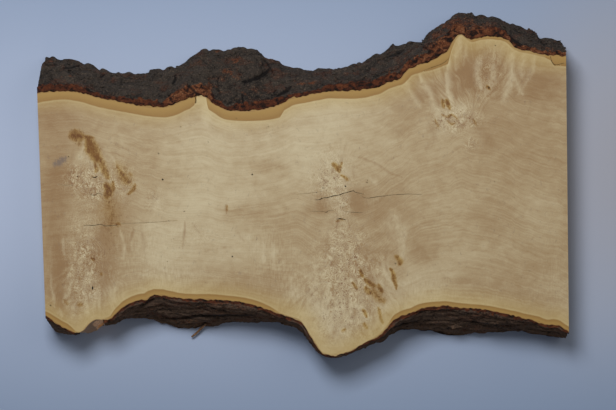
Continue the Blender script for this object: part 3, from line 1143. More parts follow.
@dataclass
class BurlWood:
    """The slab's one body of wood. Lengths in millimetres, angles in degrees."""

    net: SlabNet
    columns: int = 408
    rows: int = 168
    layers: int = 8
    coarse: int = 4
    edge_steps: int = 500
    sharp_corner: float = 50.0
    rings_across: float = 230.0
    bend: float = 4.5
    bend_size: Size = (16.0, 16.0, 30.0)
    bend_seeds: Point = (11.0, 23.0)
    mark_bend: float = 0.4
    fan_shift: float = 3.0
    stained_layers: int = 3
    eye_wobble: float = 3.4
    eye_line: Point = (1.3, 0.2)
    chip_depth: float = 1.1

    def shares(self) -> np.ndarray:
        """Shares along the slab, closer together where an edge is steep."""
        fine = np.linspace(0, 1, 6 * self.edge_steps + 1)
        run = np.zeros(len(fine) - 1)
        for side in Side:
            line = self.net.side_points(side, fine, np.array([0.0]))[0]
            run = np.maximum(run, np.hypot(*np.diff(line[:, :2], axis=0).T))
        total = np.concatenate([[0.0], np.cumsum(run)])
        return np.interp(np.linspace(0, total[-1], self.columns + 1), total, fine)

    def block(self) -> np.ndarray:
        """Every point of the block, by column, row across and layer down."""
        down = np.linspace(0, 1, self.layers + 1)
        share = self.shares()
        upper = self.net.side_points(Side.UPPER, share, down)
        lower = self.net.side_points(Side.LOWER, share, down)
        across = np.linspace(0, 1, self.rows + 1)[None, None, :, None]
        block = upper[:, :, None, :] * (1 - across) + lower[:, :, None, :] * across
        return np.transpose(block, (1, 2, 0, 3))

    def build(self, finish: bpy.types.Material) -> bpy.types.Object:
        """Builds the wood with the numbers that its finish reads."""
        block = self.block()
        shell = np.ones(block.shape[:3], bool)
        shell[1:-1, 1:-1, 1:-1] = False
        index = np.full(block.shape[:3], -1)
        index[shell] = np.arange(int(shell.sum()))
        points = block[shell]
        faces: list[np.ndarray] = []
        for grid, outward in (
            (index[:, :, 0], (0, 0, 1)), (index[:, 0, :], (0, 1, 0)), (index[:, -1, :], (0, -1, 0)),
            (index[0], (-1, 0, 0)), (index[-1], (1, 0, 0)),
        ):
            faces += grid_faces(grid, np.array(outward, float), points)
        faces += self.underside(index[:, :, -1])
        _, across, layer = (axis[shell] for axis in np.indices(block.shape[:3]))
        marks = self.marks(points, across, layer)
        points = self.broken_chip(points, marks["bare"])
        made = mesh_object("maple_wood", points, faces, finish)
        for name, values in marks.items():
            set_attribute(made.data, name, values)
        self.drop_loose_points(made)
        made.data.set_sharp_from_angle(angle=math.radians(self.sharp_corner))
        log.info("maple_wood: %d faces", len(faces))
        return made

    def underside(self, grid: np.ndarray) -> list[list[int]]:
        """Larger faces over the flat underside, which still meet every point of its border."""
        last_column, last_row = grid.shape[0] - 1, grid.shape[1] - 1
        step = self.coarse
        faces = []
        for i in range(0, last_column, step):
            for j in range(0, last_row, step):
                across = range(i, i + step)
                down = range(j, j + step)
                near = [(a, j) for a in (across if j == 0 else (i,))]
                right = [(i + step, b) for b in (down if i + step == last_column else (j,))]
                last_across = across if j + step == last_row else (i + step - 1,)
                last_down = down if i == 0 else (j + step - 1,)
                far = [(a + 1, j + step) for a in reversed(last_across)]
                left = [(i, b + 1) for b in reversed(last_down)]
                faces.append([int(grid[place]) for place in near + right + far + left])
        return faces

    def drop_loose_points(self, made: bpy.types.Object) -> None:
        """Removes the points that the larger faces left out, and closes faces the right way round."""
        bm = bmesh.new()
        bm.from_mesh(made.data)
        bmesh.ops.delete(bm, geom=[v for v in bm.verts if not v.link_faces], context="VERTS")
        bmesh.ops.recalc_face_normals(bm, faces=bm.faces)
        store_outward(bm, made.data)

    def edge_distance(self, side: Side, points: np.ndarray, layer: np.ndarray) -> np.ndarray:
        """Distance of each point from a live edge in its own layer."""
        found = np.zeros(len(points))
        fine = np.linspace(0, 1, self.edge_steps)
        for number in range(self.layers + 1):
            here = layer == number
            line = self.net.side_points(side, fine, np.array([number / self.layers]), 0.0)[0]
            found[here] = nearest_distance(points[here, 0], points[here, 1], line)
        return found

    def marks(self, points: np.ndarray, across: np.ndarray, layer: np.ndarray) -> dict[str, np.ndarray]:
        """The figure of the wood, as numbers at each point.

        Args:
            points: The wood's points.
            across: Row number of each point, counted from the upper edge.
            layer: Layer number of each point, counted from the face.

        Returns:
            Each named number, for all points.
        """
        x, y = from_view_middle(points)
        bend_x, bend_y = (self.bend * noise_at(points, self.bend_size, seed) for seed in self.bend_seeds)
        wx, wy = x + bend_x, y + bend_y
        near_x, near_y = x + self.mark_bend * bend_x, y + self.mark_bend * bend_y
        share_across = across / self.rows
        to_upper, to_lower = (self.edge_distance(side, points, layer) for side in Side)
        near_upper = to_upper < to_lower

        fans = np.array([fan.weight(wx, wy) for fan in FANS])
        first = fans.argmax(axis=0)
        polar = [fan.polar(wx, wy) for fan in FANS]
        tone = sum(patch.weight(wx, wy) for patch in TONE_PATCHES)
        on_side = (across == self.rows) & (layer > 0)
        chip_start, chip_stop = smooth_step(x, *CHIP_START), smooth_step(x, *CHIP_STOP)
        torn_x = noise_sum(points, FACET_WAVES, x)
        stained = layer < self.stained_layers
        return {
            "ring": self.rings_across * share_across + self.ring_dip(x, share_across),
            "along": x,
            "sap": np.where(near_upper, to_upper, to_lower),
            "sap_width": np.where(near_upper, np.interp(x, *zip(*UPPER_SAP)), np.interp(x, *zip(*LOWER_SAP))),
            "tone": noise_sum(points, TONE_WAVES, tone),
            "fan": np.clip(fans.max(axis=0), 0, 1),
            "fan_angle": np.choose(first, [p[0] for p in polar]) + self.fan_shift * first,
            "fan_radius": np.choose(first, [p[1] for p in polar]),
            "burl": np.clip(sum(p.weight(wx, wy) for p in BURLS), 0, 1),
            "rays": np.clip(sum(p.weight(x, y) for p in RAYS), 0, 1),
            "light": drawn(PALE_STROKES, near_x, near_y),
            "tan": drawn(TAN_STROKES, near_x, near_y),
            "stain": drawn(STAINS, near_x, near_y) * stained,
            "grey": drawn(GREY_STAINS, near_x, near_y) * stained,
            "eye": self.eye_lines(points, x, y) * (layer == 0),
            "bare": on_side * chip_start * chip_stop,
            "facet": smooth_step(torn_x, *CHIP_FACET) * smooth_step(layer, 0.5, 2),
            "orange": smooth_step(torn_x, *CHIP_ORANGE) * smooth_step(layer / self.layers, 0.35, 0.65),
        }

    def ring_dip(self, x: np.ndarray, share_across: np.ndarray) -> np.ndarray:
        """How far the growth rings sag below the line between the two edges, in millimetres."""
        sag = sum(depth * np.exp(-((x - place) / reach) ** 2) for place, reach, depth in RING_SAGS)
        return -sag * np.sin(math.pi * np.clip(share_across, 0, 1)) ** 1.2

    def eye_lines(self, points: np.ndarray, x: np.ndarray, y: np.ndarray) -> np.ndarray:
        """Thin round outlines of the burl's eyes, from 0 to 1."""
        wobble = noise_at(points, (3.4, 3.4, 3.4), 31.0) * self.eye_wobble
        shown = smooth_step(noise_at(points, (4.5, 4.5, 4.5), 33.0), -0.12, 0.16)
        line = np.zeros(len(x))
        for eye_x, eye_y, radius in EYES:
            gap = np.abs(np.hypot(x - eye_x, y - eye_y) + wobble - radius)
            line = np.maximum(line, smooth_step(gap, *self.eye_line))
        return line * shown

    def broken_chip(self, points: np.ndarray, bare: np.ndarray) -> np.ndarray:
        """Roughens the wood's side where the bark has chipped away."""
        moved = points.copy()
        moved[:, 1] += bare * np.clip(noise_sum(points, CHIP_WAVES, self.chip_depth), 0, None)
        return moved

    def cut_marks(self, made: bpy.types.Object, wall: bpy.types.Material) -> None:
        """Cuts the cracks and holes out of the wood.

        Args:
            made: The wood.
            wall: Material of the cracks' walls.
        """
        top = float(self.net.sides[Side.UPPER][0, 0, 2])
        cutter = linked("cutter", bpy.data.meshes.new("cutter"))
        bm = bmesh.new()
        for number, crack in enumerate(CRACKS):
            crack_wedge(bm, crack, top, number)
        for hole in HOLES:
            hole_cone(bm, hole, top)
        bm.normal_update()
        bm.to_mesh(cutter.data)
        bm.free()
        cutter.data.materials.append(made.data.materials[0])
        cutter.data.materials.append(wall)
        cutter.data.polygons.foreach_set("material_index", [1] * len(cutter.data.polygons))
        made.data.materials.append(wall)
        boolean = made.modifiers.new("cracks", "BOOLEAN")
        boolean.operation = "DIFFERENCE"
        boolean.object = cutter
        boolean.solver = "MANIFOLD"
        replace_with_evaluated(made)
        bpy.data.objects.remove(cutter, do_unlink=True)


def replace_with_evaluated(made: bpy.types.Object) -> None:
    """Turns an object with live modifiers into a plain mesh and clears them."""
    graph = bpy.context.evaluated_depsgraph_get()
    graph.update()
    mesh = bpy.data.meshes.new_from_object(made.evaluated_get(graph), depsgraph=graph)
    made.modifiers.clear()
    made.data = mesh


def wedge_faces(bm: bmesh.types.BMesh, sections: list[list[Any]]) -> None:
    """Closed tube over sections of points, capped at both ends."""
    count = len(sections[0])
    for one, two in zip(sections[:-1], sections[1:]):
        for i in range(count):
            bm.faces.new((one[i], two[i], two[(i + 1) % count], one[(i + 1) % count]))
    bm.faces.new(sections[0])
    bm.faces.new(list(reversed(sections[-1])))


def crack_wedge(bm: bmesh.types.BMesh, crack: Crack, top: float, number: int) -> None:
    """Adds a crack's cutter: a narrow wedge that wanders and tapers to nothing at both ends.

    Args:
        bm: Mesh that takes the wedge.
        crack: The crack.
        top: Height of the sawn face, in millimetres.
        number: The crack's number, which seeds its wander.
    """
    line = np.array(crack.points)
    count = max(8, int(np.hypot(*np.diff(line, axis=0).T).sum() / crack.step))
    places = np.linspace(0, len(line) - 1, count)
    path = catmull(line, places)
    tangent = np.gradient(path, axis=0)
    tangent /= np.linalg.norm(tangent, axis=1)[:, None]
    across = np.column_stack([-tangent[:, 1], tangent[:, 0]])
    steps = np.column_stack([np.arange(count), np.full(count, number * 7.7), np.zeros(count)])
    share = np.linspace(0, 1, count)
    path += across * (noise_at(steps, (2.2, 1, 1), 1.0) * crack.wander)[:, None]
    uneven = 1 + crack.uneven * noise_at(steps, (1.7, 1, 1), 9.0)
    width = crack.width * (0.12 + np.sin(math.pi * share) ** 0.5) * uneven / 2
    sections = []
    for (x, y), (ax, ay), half in zip(path + VIEW_MIDDLE, across, width):
        low, high = top - crack.depth, top + crack.above
        corners = ((half, high), (-half, high), (-half * crack.foot, low), (half * crack.foot, low))
        sections.append([bm.verts.new(Vector((x + ax * w, y + ay * w, z)) * MM) for w, z in corners])
    wedge_faces(bm, sections)


def hole_cone(bm: bmesh.types.BMesh, hole: Hole, top: float) -> None:
    """Adds a worm hole's cutter: a ten-sided tapered plug."""
    sections = []
    corners = 10
    for z, share in ((top + 0.5, 1.15), (top - 0.6, 0.85), (top - hole.depth, 0.45)):
        ring = []
        for i in range(corners):
            turn = 2 * math.pi * i / corners
            x = hole.x + VIEW_MIDDLE[0] + math.cos(turn) * hole.radius * share
            y = hole.y + VIEW_MIDDLE[1] + math.sin(turn) * hole.radius * share * hole.stretch
            ring.append(bm.verts.new(Vector((x, y, z)) * MM))
        sections.append(ring)
    wedge_faces(bm, sections[::-1])


@dataclass
class BarkStrip:
    """One stretch of bark, built over the solid that stands for it. Lengths in millimetres.

    A row of plates is (size as a share of plate, strength, rise, seed), and a row of lumps (size, strength).
    """

    node: str
    name: str
    side: Side
    net: SlabNet
    spacing: float = 0.8
    slope_rows: int = 58
    band_rows: int = 7
    inner_rows: int = 4
    plate: Size = (24.0, 17.0, 14.0)
    plates: Sequence[tuple[float, ...]] = ((1.0, 1.0, 1.6, 7.0), (0.37, 0.35, 1.4, 19.0))
    plate_depth: float = 1.3
    plate_rise: float = 0.7
    grit: float = 0.6
    lumps: Sequence[Point] = ((9.0, 0.6), (4.2, 0.7), (2.2, 0.8), (1.4, 0.5))
    lump_stretch: Size = (1.35, 1.0, 0.8)
    striation: float = 0.0
    striation_size: Size = (18.0, 2.2, 1.7)
    top_relief: float = 0.15
    crease_depth: float = 2.2
    swell: Sequence[Point] = ((0.0, 0.0),)
    sawn_sink: float = 0.35
    sink_growth: Point = (0.4, 1.6)
    fray: float = 2.6
    bare_border: int = 3
    shaded_rows: int = 8
    shade: float = 0.7
    plain_warmth: float = 0.3

    def inside_and_outside(self) -> tuple[np.ndarray, np.ndarray]:
        """Rows of the bark's inner and outer surface, read from its solid, the highest first."""
        levels = rows_by_level(node_points(self.node))
        wood = self.net.sides[self.side]
        inner, outer = [], []
        top = wood[0, 0, 2]
        for row in levels:
            place = np.clip((top - row[0, 2]) / top * (len(wood) - 1), 0, len(wood) - 1)
            line = catmull(wood, np.array([place]))[0]
            off = np.abs(row[:, 1] - np.interp(row[:, 0], line[:, 0], line[:, 1]))
            lean = np.abs(np.interp(row[:, 0], line[:, 0], np.gradient(line[:, 1], line[:, 0])))
            far = off > 0.75 * np.sqrt(1 + lean ** 2)
            if far.any():
                outer.append(row[far])
            if not far.all():
                inner.append(row[~far])
        stations = max(len(row) for row in inner)
        whole = [row for row in outer if len(row) == stations]
        log.info("%s: %d stations, %d of %d outer rows whole", self.node, stations, len(whole), len(outer))
        return np.array([row for row in inner if len(row) == stations]), np.array(whole)

    def surface(self, rows: np.ndarray, places: np.ndarray, down: np.ndarray) -> np.ndarray:
        """Smooth surface over rows of points, by depth and then along."""
        along = catmull(np.swapaxes(rows, 0, 1), places)
        return catmull(np.swapaxes(along, 0, 1), down * (len(rows) - 1))

    def build(self, finish: bpy.types.Material) -> bpy.types.Object:
        """Builds the bark with its relief and the numbers that its finish reads."""
        inner_rows, outer_rows = self.inside_and_outside()
        line = outer_rows[len(outer_rows) // 2]
        run = np.concatenate([[0.0], np.cumsum(np.hypot(*np.diff(line[:, :2], axis=0).T))])
        count = max(12, int(run[-1] / self.spacing))
        places = np.interp(np.linspace(0, run[-1], count + 1), run, np.arange(len(run)))

        slope = self.surface(outer_rows, places, np.linspace(0, 1, self.slope_rows + 1))
        inside = self.surface(inner_rows, places, np.linspace(1, 0, self.inner_rows + 1))
        inside[:, :, 1] += ragged(inside[-1, :, 0], float(self.side.value))
        share = np.linspace(0, 1, self.band_rows + 1)[1:-1, None, None]
        band = inside[-1] * (1 - share) + slope[0] * share
        base_share = np.linspace(0, 1, self.inner_rows + 1)[1:-1, None, None]
        base = slope[-1] * (1 - base_share) + inside[0] * base_share
        ring = np.concatenate([inside[-1:], band, slope, base, inside[:-1]])
        start = self.band_rows
        relief = np.zeros(ring.shape[:2])
        relief[start:start + self.slope_rows + 1] = self.relief(slope)
        ring = self.raised(ring, relief, start)
        return self.shell(ring, relief, start, finish)

    def relief(self, slope: np.ndarray) -> np.ndarray:
        """Height of the plates, fissures and grit over the bark's outer surface, in millimetres."""
        flat = slope.reshape(-1, 3)
        height = np.zeros(len(flat))
        for scale, share, rise, seed in self.plates:
            fissure, proud = plates_at(flat, [scale * length for length in self.plate], seed)
            height += share * (self.plate_rise * proud * rise - self.plate_depth * fissure ** 2)
        for size, share in self.lumps:
            lump = [size * stretch for stretch in self.lump_stretch]
            height += self.grit * share * noise_at(flat, lump, 51.0 + size)
        height += self.striation * noise_at(flat, self.striation_size, 57.0)
        height -= self.crease_depth * drawn(BARK_CREASES, *from_view_middle(flat))
        fade = smooth_step(np.arange(len(slope)), -1, 4) * (1 - self.top_relief) + self.top_relief
        return height.reshape(slope.shape[:2]) * fade[:, None]

    def raised(self, ring: np.ndarray, relief: np.ndarray, start: int) -> np.ndarray:
        """Moves the outer surface out by its relief, and roughens the sawn band downwards."""
        down_step = np.gradient(ring, axis=0)
        along_step = np.gradient(ring, axis=1)
        normal = np.cross(along_step, down_step)
        normal /= np.linalg.norm(normal, axis=2)[:, :, None] + 1e-9
        middle = start + self.slope_rows // 2
        if normal[middle, :, 1].mean() * self.side.value < 0:
            normal = -normal
        top = ring[0, :, 2].max()
        swell = np.interp(ring[:, :, 0] - VIEW_MIDDLE[0], *zip(*self.swell))
        swell[:start + 1] = 0.0
        swell[start + self.slope_rows + 1:] = 0.0
        moved = ring + normal * (relief + swell)[:, :, None]
        frayed = slice(1, start + 3)
        band = ring[frayed].reshape(-1, 3)
        sink = np.clip(noise_sum(band, SAWN_WAVES, self.sawn_sink), 0, None)
        deeper = np.linspace(*self.sink_growth, start + 2)[:, None]
        moved[frayed, :, 2] -= sink.reshape(start + 2, -1) * deeper
        moved[:, :, 2] = np.clip(moved[:, :, 2], 0.0, top)
        return moved

    def shell(
        self, ring: np.ndarray, relief: np.ndarray, start: int, finish: bpy.types.Material
    ) -> bpy.types.Object:
        """Closes the rings into one body and stores its numbers.

        Args:
            ring: Points of the body, by row around it and place along it.
            relief: Height of the outer surface at each point.
            start: Number of the outer surface's first row.
            finish: The bark's material.

        Returns:
            The bark.
        """
        rows, columns = ring.shape[:2]
        points = ring.reshape(-1, 3)
        index = np.arange(rows * columns).reshape(rows, columns)
        faces = list(quads_over(np.vstack([index, index[:1]])))
        caps = [list(index[:, 0]), list(index[::-1, -1])]
        made = mesh_object(self.name, points, faces + caps, finish)
        bm = bmesh.new()
        bm.from_mesh(made.data)
        bmesh.ops.triangulate(bm, faces=[f for f in bm.faces if len(f.verts) > 4])
        store_outward(bm, made.data)
        for name, values in self.finish_numbers(ring, relief, start).items():
            set_attribute(made.data, name, values)
        log.info("%s: %d faces", self.name, len(made.data.polygons))
        return made

    def finish_numbers(self, ring: np.ndarray, relief: np.ndarray, start: int) -> dict[str, np.ndarray]:
        """What the finish and the flakes read, by name, for every point."""
        rows, columns = ring.shape[:2]
        points = ring.reshape(-1, 3)
        x, y = from_view_middle(points)
        away = np.linalg.norm(ring - ring[:1], axis=2)
        table = UPPER_CUT if self.side is Side.UPPER else LOWER_CUT
        width = np.interp(ring[0, :, 0] - VIEW_MIDDLE[0], *zip(*table))[None, :]
        fray = noise_sum(points, BORDER_WAVES)
        off_edge = away - width - fray.reshape(rows, columns) * np.minimum(width / 6, 1)
        cut = smooth_step(off_edge, self.fray, -self.fray)
        cut[-(self.inner_rows + 1):] = 1.0
        warm = np.full(len(x), self.plain_warmth)
        if self.side is Side.UPPER:
            warm = np.interp(x, *zip(*UPPER_WARM))
        outer = np.zeros((rows, columns))
        border = self.bare_border
        outer[start + border:start + self.slope_rows - 1, border:-border] = 1.0
        outer[ring[:, :, 2] < LOWEST_FLAKE] = 0.0
        shade = np.zeros((rows, columns))
        shade[start:start + self.shaded_rows] = np.linspace(self.shade, 0.0, self.shaded_rows)[:, None]
        return {
            "height": relief.reshape(-1) / 2.0 - shade.reshape(-1),
            "cut": cut.reshape(-1),
            "torn": sum(patch.weight(x, y) for patch in TORN_PATCHES),
            "flaky": outer.reshape(-1),
            "warm": warm,
            "crease": drawn(BARK_CREASES, x, y),
        }


class ShapeTree(NodeMaker):
    """Builds one Geometry Nodes tree with named inputs."""

    def __init__(self, name: str, inputs: Sequence[tuple[str, str, Any]]) -> None:
        """Starts a tree.

        Args:
            name: The tree's name.
            inputs: Label, type of socket and default of each input after the geometry.
        """
        super().__init__(bpy.data.node_groups.new(name, "GeometryNodeTree"))
        interface = self.tree.interface
        interface.new_socket("Geometry", in_out="INPUT", socket_type="NodeSocketGeometry")
        self.defaults: dict[str, Any] = {}
        self.sockets: dict[str, str] = {}
        for label, kind, default in inputs:
            socket = interface.new_socket(label, in_out="INPUT", socket_type=kind)
            self.sockets[label] = socket.identifier
            self.defaults[label] = default
        interface.new_socket("Geometry", in_out="OUTPUT", socket_type="NodeSocketGeometry")
        self.start = self.tree.nodes.new("NodeGroupInput")
        self.stop = self.tree.nodes.new("NodeGroupOutput")

    def named(self, name: str) -> bpy.types.NodeSocket:
        """A number that the mesh carries at its points."""
        return self.node("GeometryNodeInputNamedAttribute", {"data_type": "FLOAT"}, {"Name": name}).outputs[0]

    def random(self, low: Size, high: Size, seed: bpy.types.NodeSocket) -> bpy.types.NodeSocket:
        """A random vector between two others."""
        return self.node("FunctionNodeRandomValue", {"data_type": "FLOAT_VECTOR"},
                         {0: low, 1: high, "Seed": seed}).outputs[0]

    def finish(self, geometry: bpy.types.NodeSocket) -> None:
        """Ends the tree with real geometry and its material."""
        real = self.node("GeometryNodeRealizeInstances", {}, {0: geometry})
        dressed = self.node("GeometryNodeSetMaterial", {},
                            {0: real.outputs[0], "Material": self.start.outputs["Finish"]})
        self.tree.links.new(dressed.outputs[0], self.stop.inputs[0])

    def apply(self, made: bpy.types.Object, values: dict[str, Any]) -> None:
        """Runs the tree on an object and leaves a plain mesh."""
        modifier = made.modifiers.new(self.tree.name, "NODES")
        modifier.node_group = self.tree
        for label, default in self.defaults.items():
            modifier[self.sockets[label]] = values.get(label, default)
        replace_with_evaluated(made)


@dataclass
class BarkFlakes:
    """Loose scales that lie on a bark's plates.

    Density is in scales a square metre, longest in millimetres, sizes in shares of longest, tilt in radians.
    """

    density: float
    longest: float
    seed: int
    smallest: Size = (0.35, 0.25, 0.07)
    greatest: Size = (1.0, 0.7, 0.2)
    tilt: float = 0.3
    bumps: Size = (0.7, 0.7, 0.5)
    bump_scale: float = 2.2

    def build(self, bark: bpy.types.Object, name: str, finish: bpy.types.Material) -> bpy.types.Object:
        """Scatters flakes over a bark's outer surface.

        Args:
            bark: The bark that carries them.
            name: Name of the flakes' object.
            finish: Their material.

        Returns:
            One mesh of all the flakes.
        """
        tree = ShapeTree("bark_flakes", (
            ("Density", "NodeSocketFloat", self.density), ("Longest", "NodeSocketFloat", self.longest * MM),
            ("Seed", "NodeSocketInt", self.seed), ("Finish", "NodeSocketMaterial", None),
        ))
        seed = tree.start.outputs["Seed"]
        spots = tree.node("GeometryNodeDistributePointsOnFaces", {"distribute_method": "RANDOM"}, {
            "Mesh": tree.start.outputs["Geometry"], "Density": tree.start.outputs["Density"], "Seed": seed,
        })
        barred = tree.node("FunctionNodeCompare", {"data_type": "FLOAT", "operation": "LESS_THAN"},
                           {0: tree.named("flaky"), 1: 0.5})
        kept = tree.node("GeometryNodeDeleteGeometry", {"domain": "POINT"},
                         {"Geometry": spots.outputs["Points"], "Selection": barred.outputs[0]})
        ball = tree.node("GeometryNodeMeshIcoSphere", {}, {"Radius": 0.5, "Subdivisions": 2})
        rough = tree.node("ShaderNodeTexNoise", {}, {"Scale": self.bump_scale, "Detail": 2.0})
        centred = tuple(-bump / 2 for bump in self.bumps)
        offset = tree.node("ShaderNodeVectorMath", {"operation": "MULTIPLY_ADD"},
                           {0: rough.outputs["Color"], 1: self.bumps, 2: centred})
        chip = tree.node("GeometryNodeSetPosition", {},
                         {"Geometry": ball.outputs[0], "Offset": offset.outputs[0]})
        turn = tree.random((-self.tilt, -self.tilt, 0.0), (self.tilt, self.tilt, 2 * math.pi), seed)
        spun = tree.node("FunctionNodeRotateEuler", {"space": "LOCAL"},
                         {0: spots.outputs["Rotation"], 1: turn})
        size = tree.random(self.smallest, self.greatest, seed)
        scaled = tree.node("ShaderNodeVectorMath", {"operation": "SCALE"},
                           {0: size, "Scale": tree.start.outputs["Longest"]})
        placed = tree.node("GeometryNodeInstanceOnPoints", {}, {
            "Points": kept.outputs[0], "Instance": chip.outputs[0], "Rotation": spun.outputs[0],
            "Scale": scaled.outputs[0],
        })
        tree.finish(placed.outputs[0])
        made = linked(name, bark.data.copy())
        tree.apply(made, {"Finish": finish})
        log.info("%s: %d faces", name, len(made.data.polygons))
        return made


@dataclass(frozen=True)
class Splinter:
    """A loose fibre through points in millimetres; X and Y from the middle of the view, Z above the floor."""

    points: tuple[tuple[float, float, float], ...]
    width: float


@dataclass
class LooseFibres:
    """Splinters and torn fibres that hang from the bark."""

    splinters: Sequence[Splinter]
    steps: int = 8
    taper: float = 0.25

    def build(self, name: str, finish: bpy.types.Material) -> bpy.types.Object:
        """Sweeps every fibre into one mesh.

        Args:
            name: The object's name.
            finish: Its material.

        Returns:
            The fibres.
        """
        tree = ShapeTree("loose_fibres", (
            ("Thickness", "NodeSocketFloat", 1.0), ("Finish", "NodeSocketMaterial", None),
        ))
        curve = tree.node("GeometryNodeMeshToCurve", {}, {0: tree.start.outputs["Geometry"]})
        thick = tree.node("ShaderNodeMath", {"operation": "MULTIPLY"},
                          {0: tree.named("width"), 1: tree.start.outputs["Thickness"]})
        sized = tree.node("GeometryNodeSetCurveRadius", {}, {0: curve.outputs[0], "Radius": thick.outputs[0]})
        profile = tree.node("GeometryNodeCurvePrimitiveCircle", {}, {"Resolution": 5, "Radius": 1.0})
        swept = tree.node("GeometryNodeCurveToMesh", {}, {
            "Curve": sized.outputs[0], "Profile Curve": profile.outputs[0], "Fill Caps": True,
            "Scale": thick.outputs[0],
        })
        tree.finish(swept.outputs[0])
        made = self.lines(name)
        tree.apply(made, {"Finish": finish})
        log.info("%s: %d faces", name, len(made.data.polygons))
        return made

    def lines(self, name: str) -> bpy.types.Object:
        """One object that holds every fibre's middle line."""
        points: list[Vector] = []
        edges: list[tuple[int, int]] = []
        widths: list[float] = []
        for splinter in self.splinters:
            places = np.linspace(0, len(splinter.points) - 1, self.steps + 1)
            path = catmull(np.array(splinter.points, float), places)
            for number, (x, y, z) in enumerate(path):
                if number:
                    edges.append((len(points) - 1, len(points)))
                points.append(Vector((x + VIEW_MIDDLE[0], y + VIEW_MIDDLE[1], z)) * MM)
                widths.append(splinter.width / 2 * MM * (1 - self.taper * (number / self.steps) ** 2))
        mesh = bpy.data.meshes.new(name)
        mesh.from_pydata(points, edges, [])
        set_attribute(mesh, "width", np.array(widths))
        return linked(name, mesh)


SPLINTERS = (
    Splinter(((-104, -121, 9), (-109, -126, 6), (-114, -131, 4.6), (-119, -135, 4)), 2.7),
    Splinter(((-205, -113.5, 46), (-204.4, -117, 45), (-205.6, -121, 43)), 1.8),
)


@dataclass(frozen=True)
class Lamp:
    """A square soft light that looks at the middle of the sawn face. Lengths in metres, power in watts."""

    name: str
    offset: tuple[float, float, float]
    size: float
    power: float
    colour: Colour

    def build(self, aim: Vector) -> None:
        """Hangs the lamp at its offset from the point it looks at."""
        data = bpy.data.lights.new(self.name, "AREA")
        data.size = self.size
        data.energy = self.power
        data.color = self.colour
        place = aim + Vector(self.offset)
        lamp = linked(self.name, data)
        lamp.location = place
        lamp.rotation_euler = (aim - place).to_track_quat("-Z", "Y").to_euler()


@dataclass(frozen=True)
class Studio:
    """The floor, the light and the camera. Lengths in metres, the sensor in millimetres."""

    camera_height: float = 2.0
    sensor: float = 36.0
    sight: float = 20.0
    floor_half: float = 3.0
    room_colour: Colour = srgb(206, 218, 240)
    room_strength: float = 0.155
    lamps: tuple[Lamp, ...] = (
        Lamp("key", (-0.3, 0.72, 1.45), 0.6, 22.3, srgb(250, 251, 255)),
        Lamp("low", (-0.35, -1.15, 0.2), 0.5, 1.9, srgb(255, 232, 200)),
        Lamp("fill", (1.1, 0.5, 1.35), 1.3, 5.5, srgb(255, 242, 224)),
    )

    def build(self, top: float) -> None:
        """Sets the stage.

        Args:
            top: Height of the sawn face.
        """
        scene = bpy.context.scene
        scene.view_settings.view_transform = "Standard"
        self.floor()
        self.world(scene)
        middle = Vector((VIEW_MIDDLE[0] * MM, VIEW_MIDDLE[1] * MM, top))
        for lamp in self.lamps:
            lamp.build(middle)
        self.camera(scene, middle)

    def floor(self) -> None:
        """Lays the pale floor just under the slab."""
        half = self.floor_half / MM
        corners = np.array([(-half, -half, 0), (half, -half, 0), (half, half, 0), (-half, half, 0)], float)
        floor = mesh_object("floor", corners, [(0, 1, 2, 3)], FLOOR_FINISH.build())

    def world(self, scene: bpy.types.Scene) -> None:
        """Lights everything softly from all round."""
        world = bpy.data.worlds.new("soft_room")
        world.use_nodes = True
        background = world.node_tree.nodes["Background"]
        background.inputs["Color"].default_value = (*self.room_colour, 1.0)
        background.inputs["Strength"].default_value = self.room_strength
        scene.world = world

    def camera(self, scene: bpy.types.Scene, middle: Vector) -> None:
        """Looks straight down at the sawn face."""
        data = bpy.data.cameras.new("camera")
        data.sensor_width = self.sensor
        data.lens = self.sensor * self.camera_height / (PHOTO_WIDTH * PIXEL * MM)
        data.clip_end = self.sight
        camera = linked("camera", data)
        camera.location = middle + Vector((0, 0, self.camera_height))
        scene.camera = camera


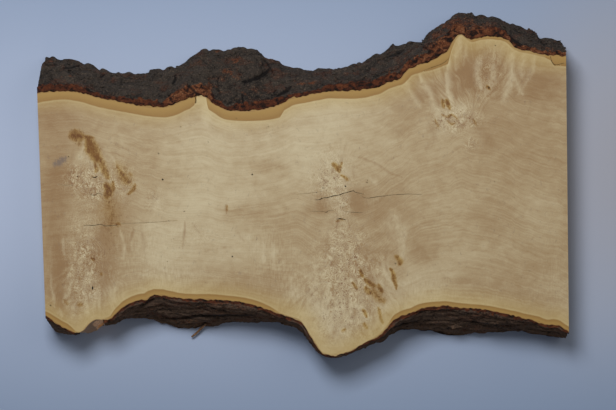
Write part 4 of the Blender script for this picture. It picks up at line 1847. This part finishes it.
def keep(made: bpy.types.Object, slot: str, *nodes: str) -> None:
    """Hands a finished piece to the frame."""
    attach(made, "root")
    if nodes:
        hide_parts(*nodes)


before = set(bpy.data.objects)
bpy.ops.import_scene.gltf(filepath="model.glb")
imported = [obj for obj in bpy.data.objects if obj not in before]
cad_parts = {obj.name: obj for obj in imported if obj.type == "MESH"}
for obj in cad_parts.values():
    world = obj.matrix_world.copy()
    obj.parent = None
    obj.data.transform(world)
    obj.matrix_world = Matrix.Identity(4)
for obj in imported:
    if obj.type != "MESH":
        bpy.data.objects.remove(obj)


def main() -> None:
    """Builds the slab and its stage."""
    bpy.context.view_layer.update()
    net = SlabNet.read()
    wood = BurlWood(net)
    slab = wood.build(MapleFinish().build())
    wood.cut_marks(slab, CRACK_FINISH.build())
    keep(slab, "maple_wood", "burl_wood")

    upper_finish, lower_finish = UPPER_BARK_FINISH.build(), LOWER_BARK_FINISH.build()
    upper = BarkStrip("upper_bark", "bark_upper", Side.UPPER, net, swell=UPPER_SWELL)
    lower = BarkStrip(
        "lower_bark", "bark_lower", Side.LOWER, net, plate=(30.0, 9.0, 5.5), plate_depth=1.3, plate_rise=0.9,
        grit=0.5, striation=1.2, swell=LOWER_SWELL,
    )
    corner = BarkStrip(
        "corner_bark", "bark_corner", Side.LOWER, net, plate=(10.0, 8.0, 4.6), plate_depth=0.8,
        plate_rise=0.5, grit=0.4, striation=0.4,
    )
    strips = (
        (upper, upper_finish, BarkFlakes(density=26000, longest=7.0, seed=4)),
        (lower, lower_finish, BarkFlakes(density=9000, longest=6.0, seed=8)),
        (corner, lower_finish, None),
    )
    for strip, finish, flakes in strips:
        bark = strip.build(finish)
        keep(bark, "bark", strip.node)
        if flakes:
            keep(flakes.build(bark, strip.name + "_flakes", finish), "bark")

    keep(LooseFibres(SPLINTERS).build("loose_fibres", FIBRE_FINISH.build()), "bark")

    Studio().build(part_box("burl_wood")[1].z)


if __name__ == "__main__":
    logging.basicConfig(level=logging.INFO)
    main()
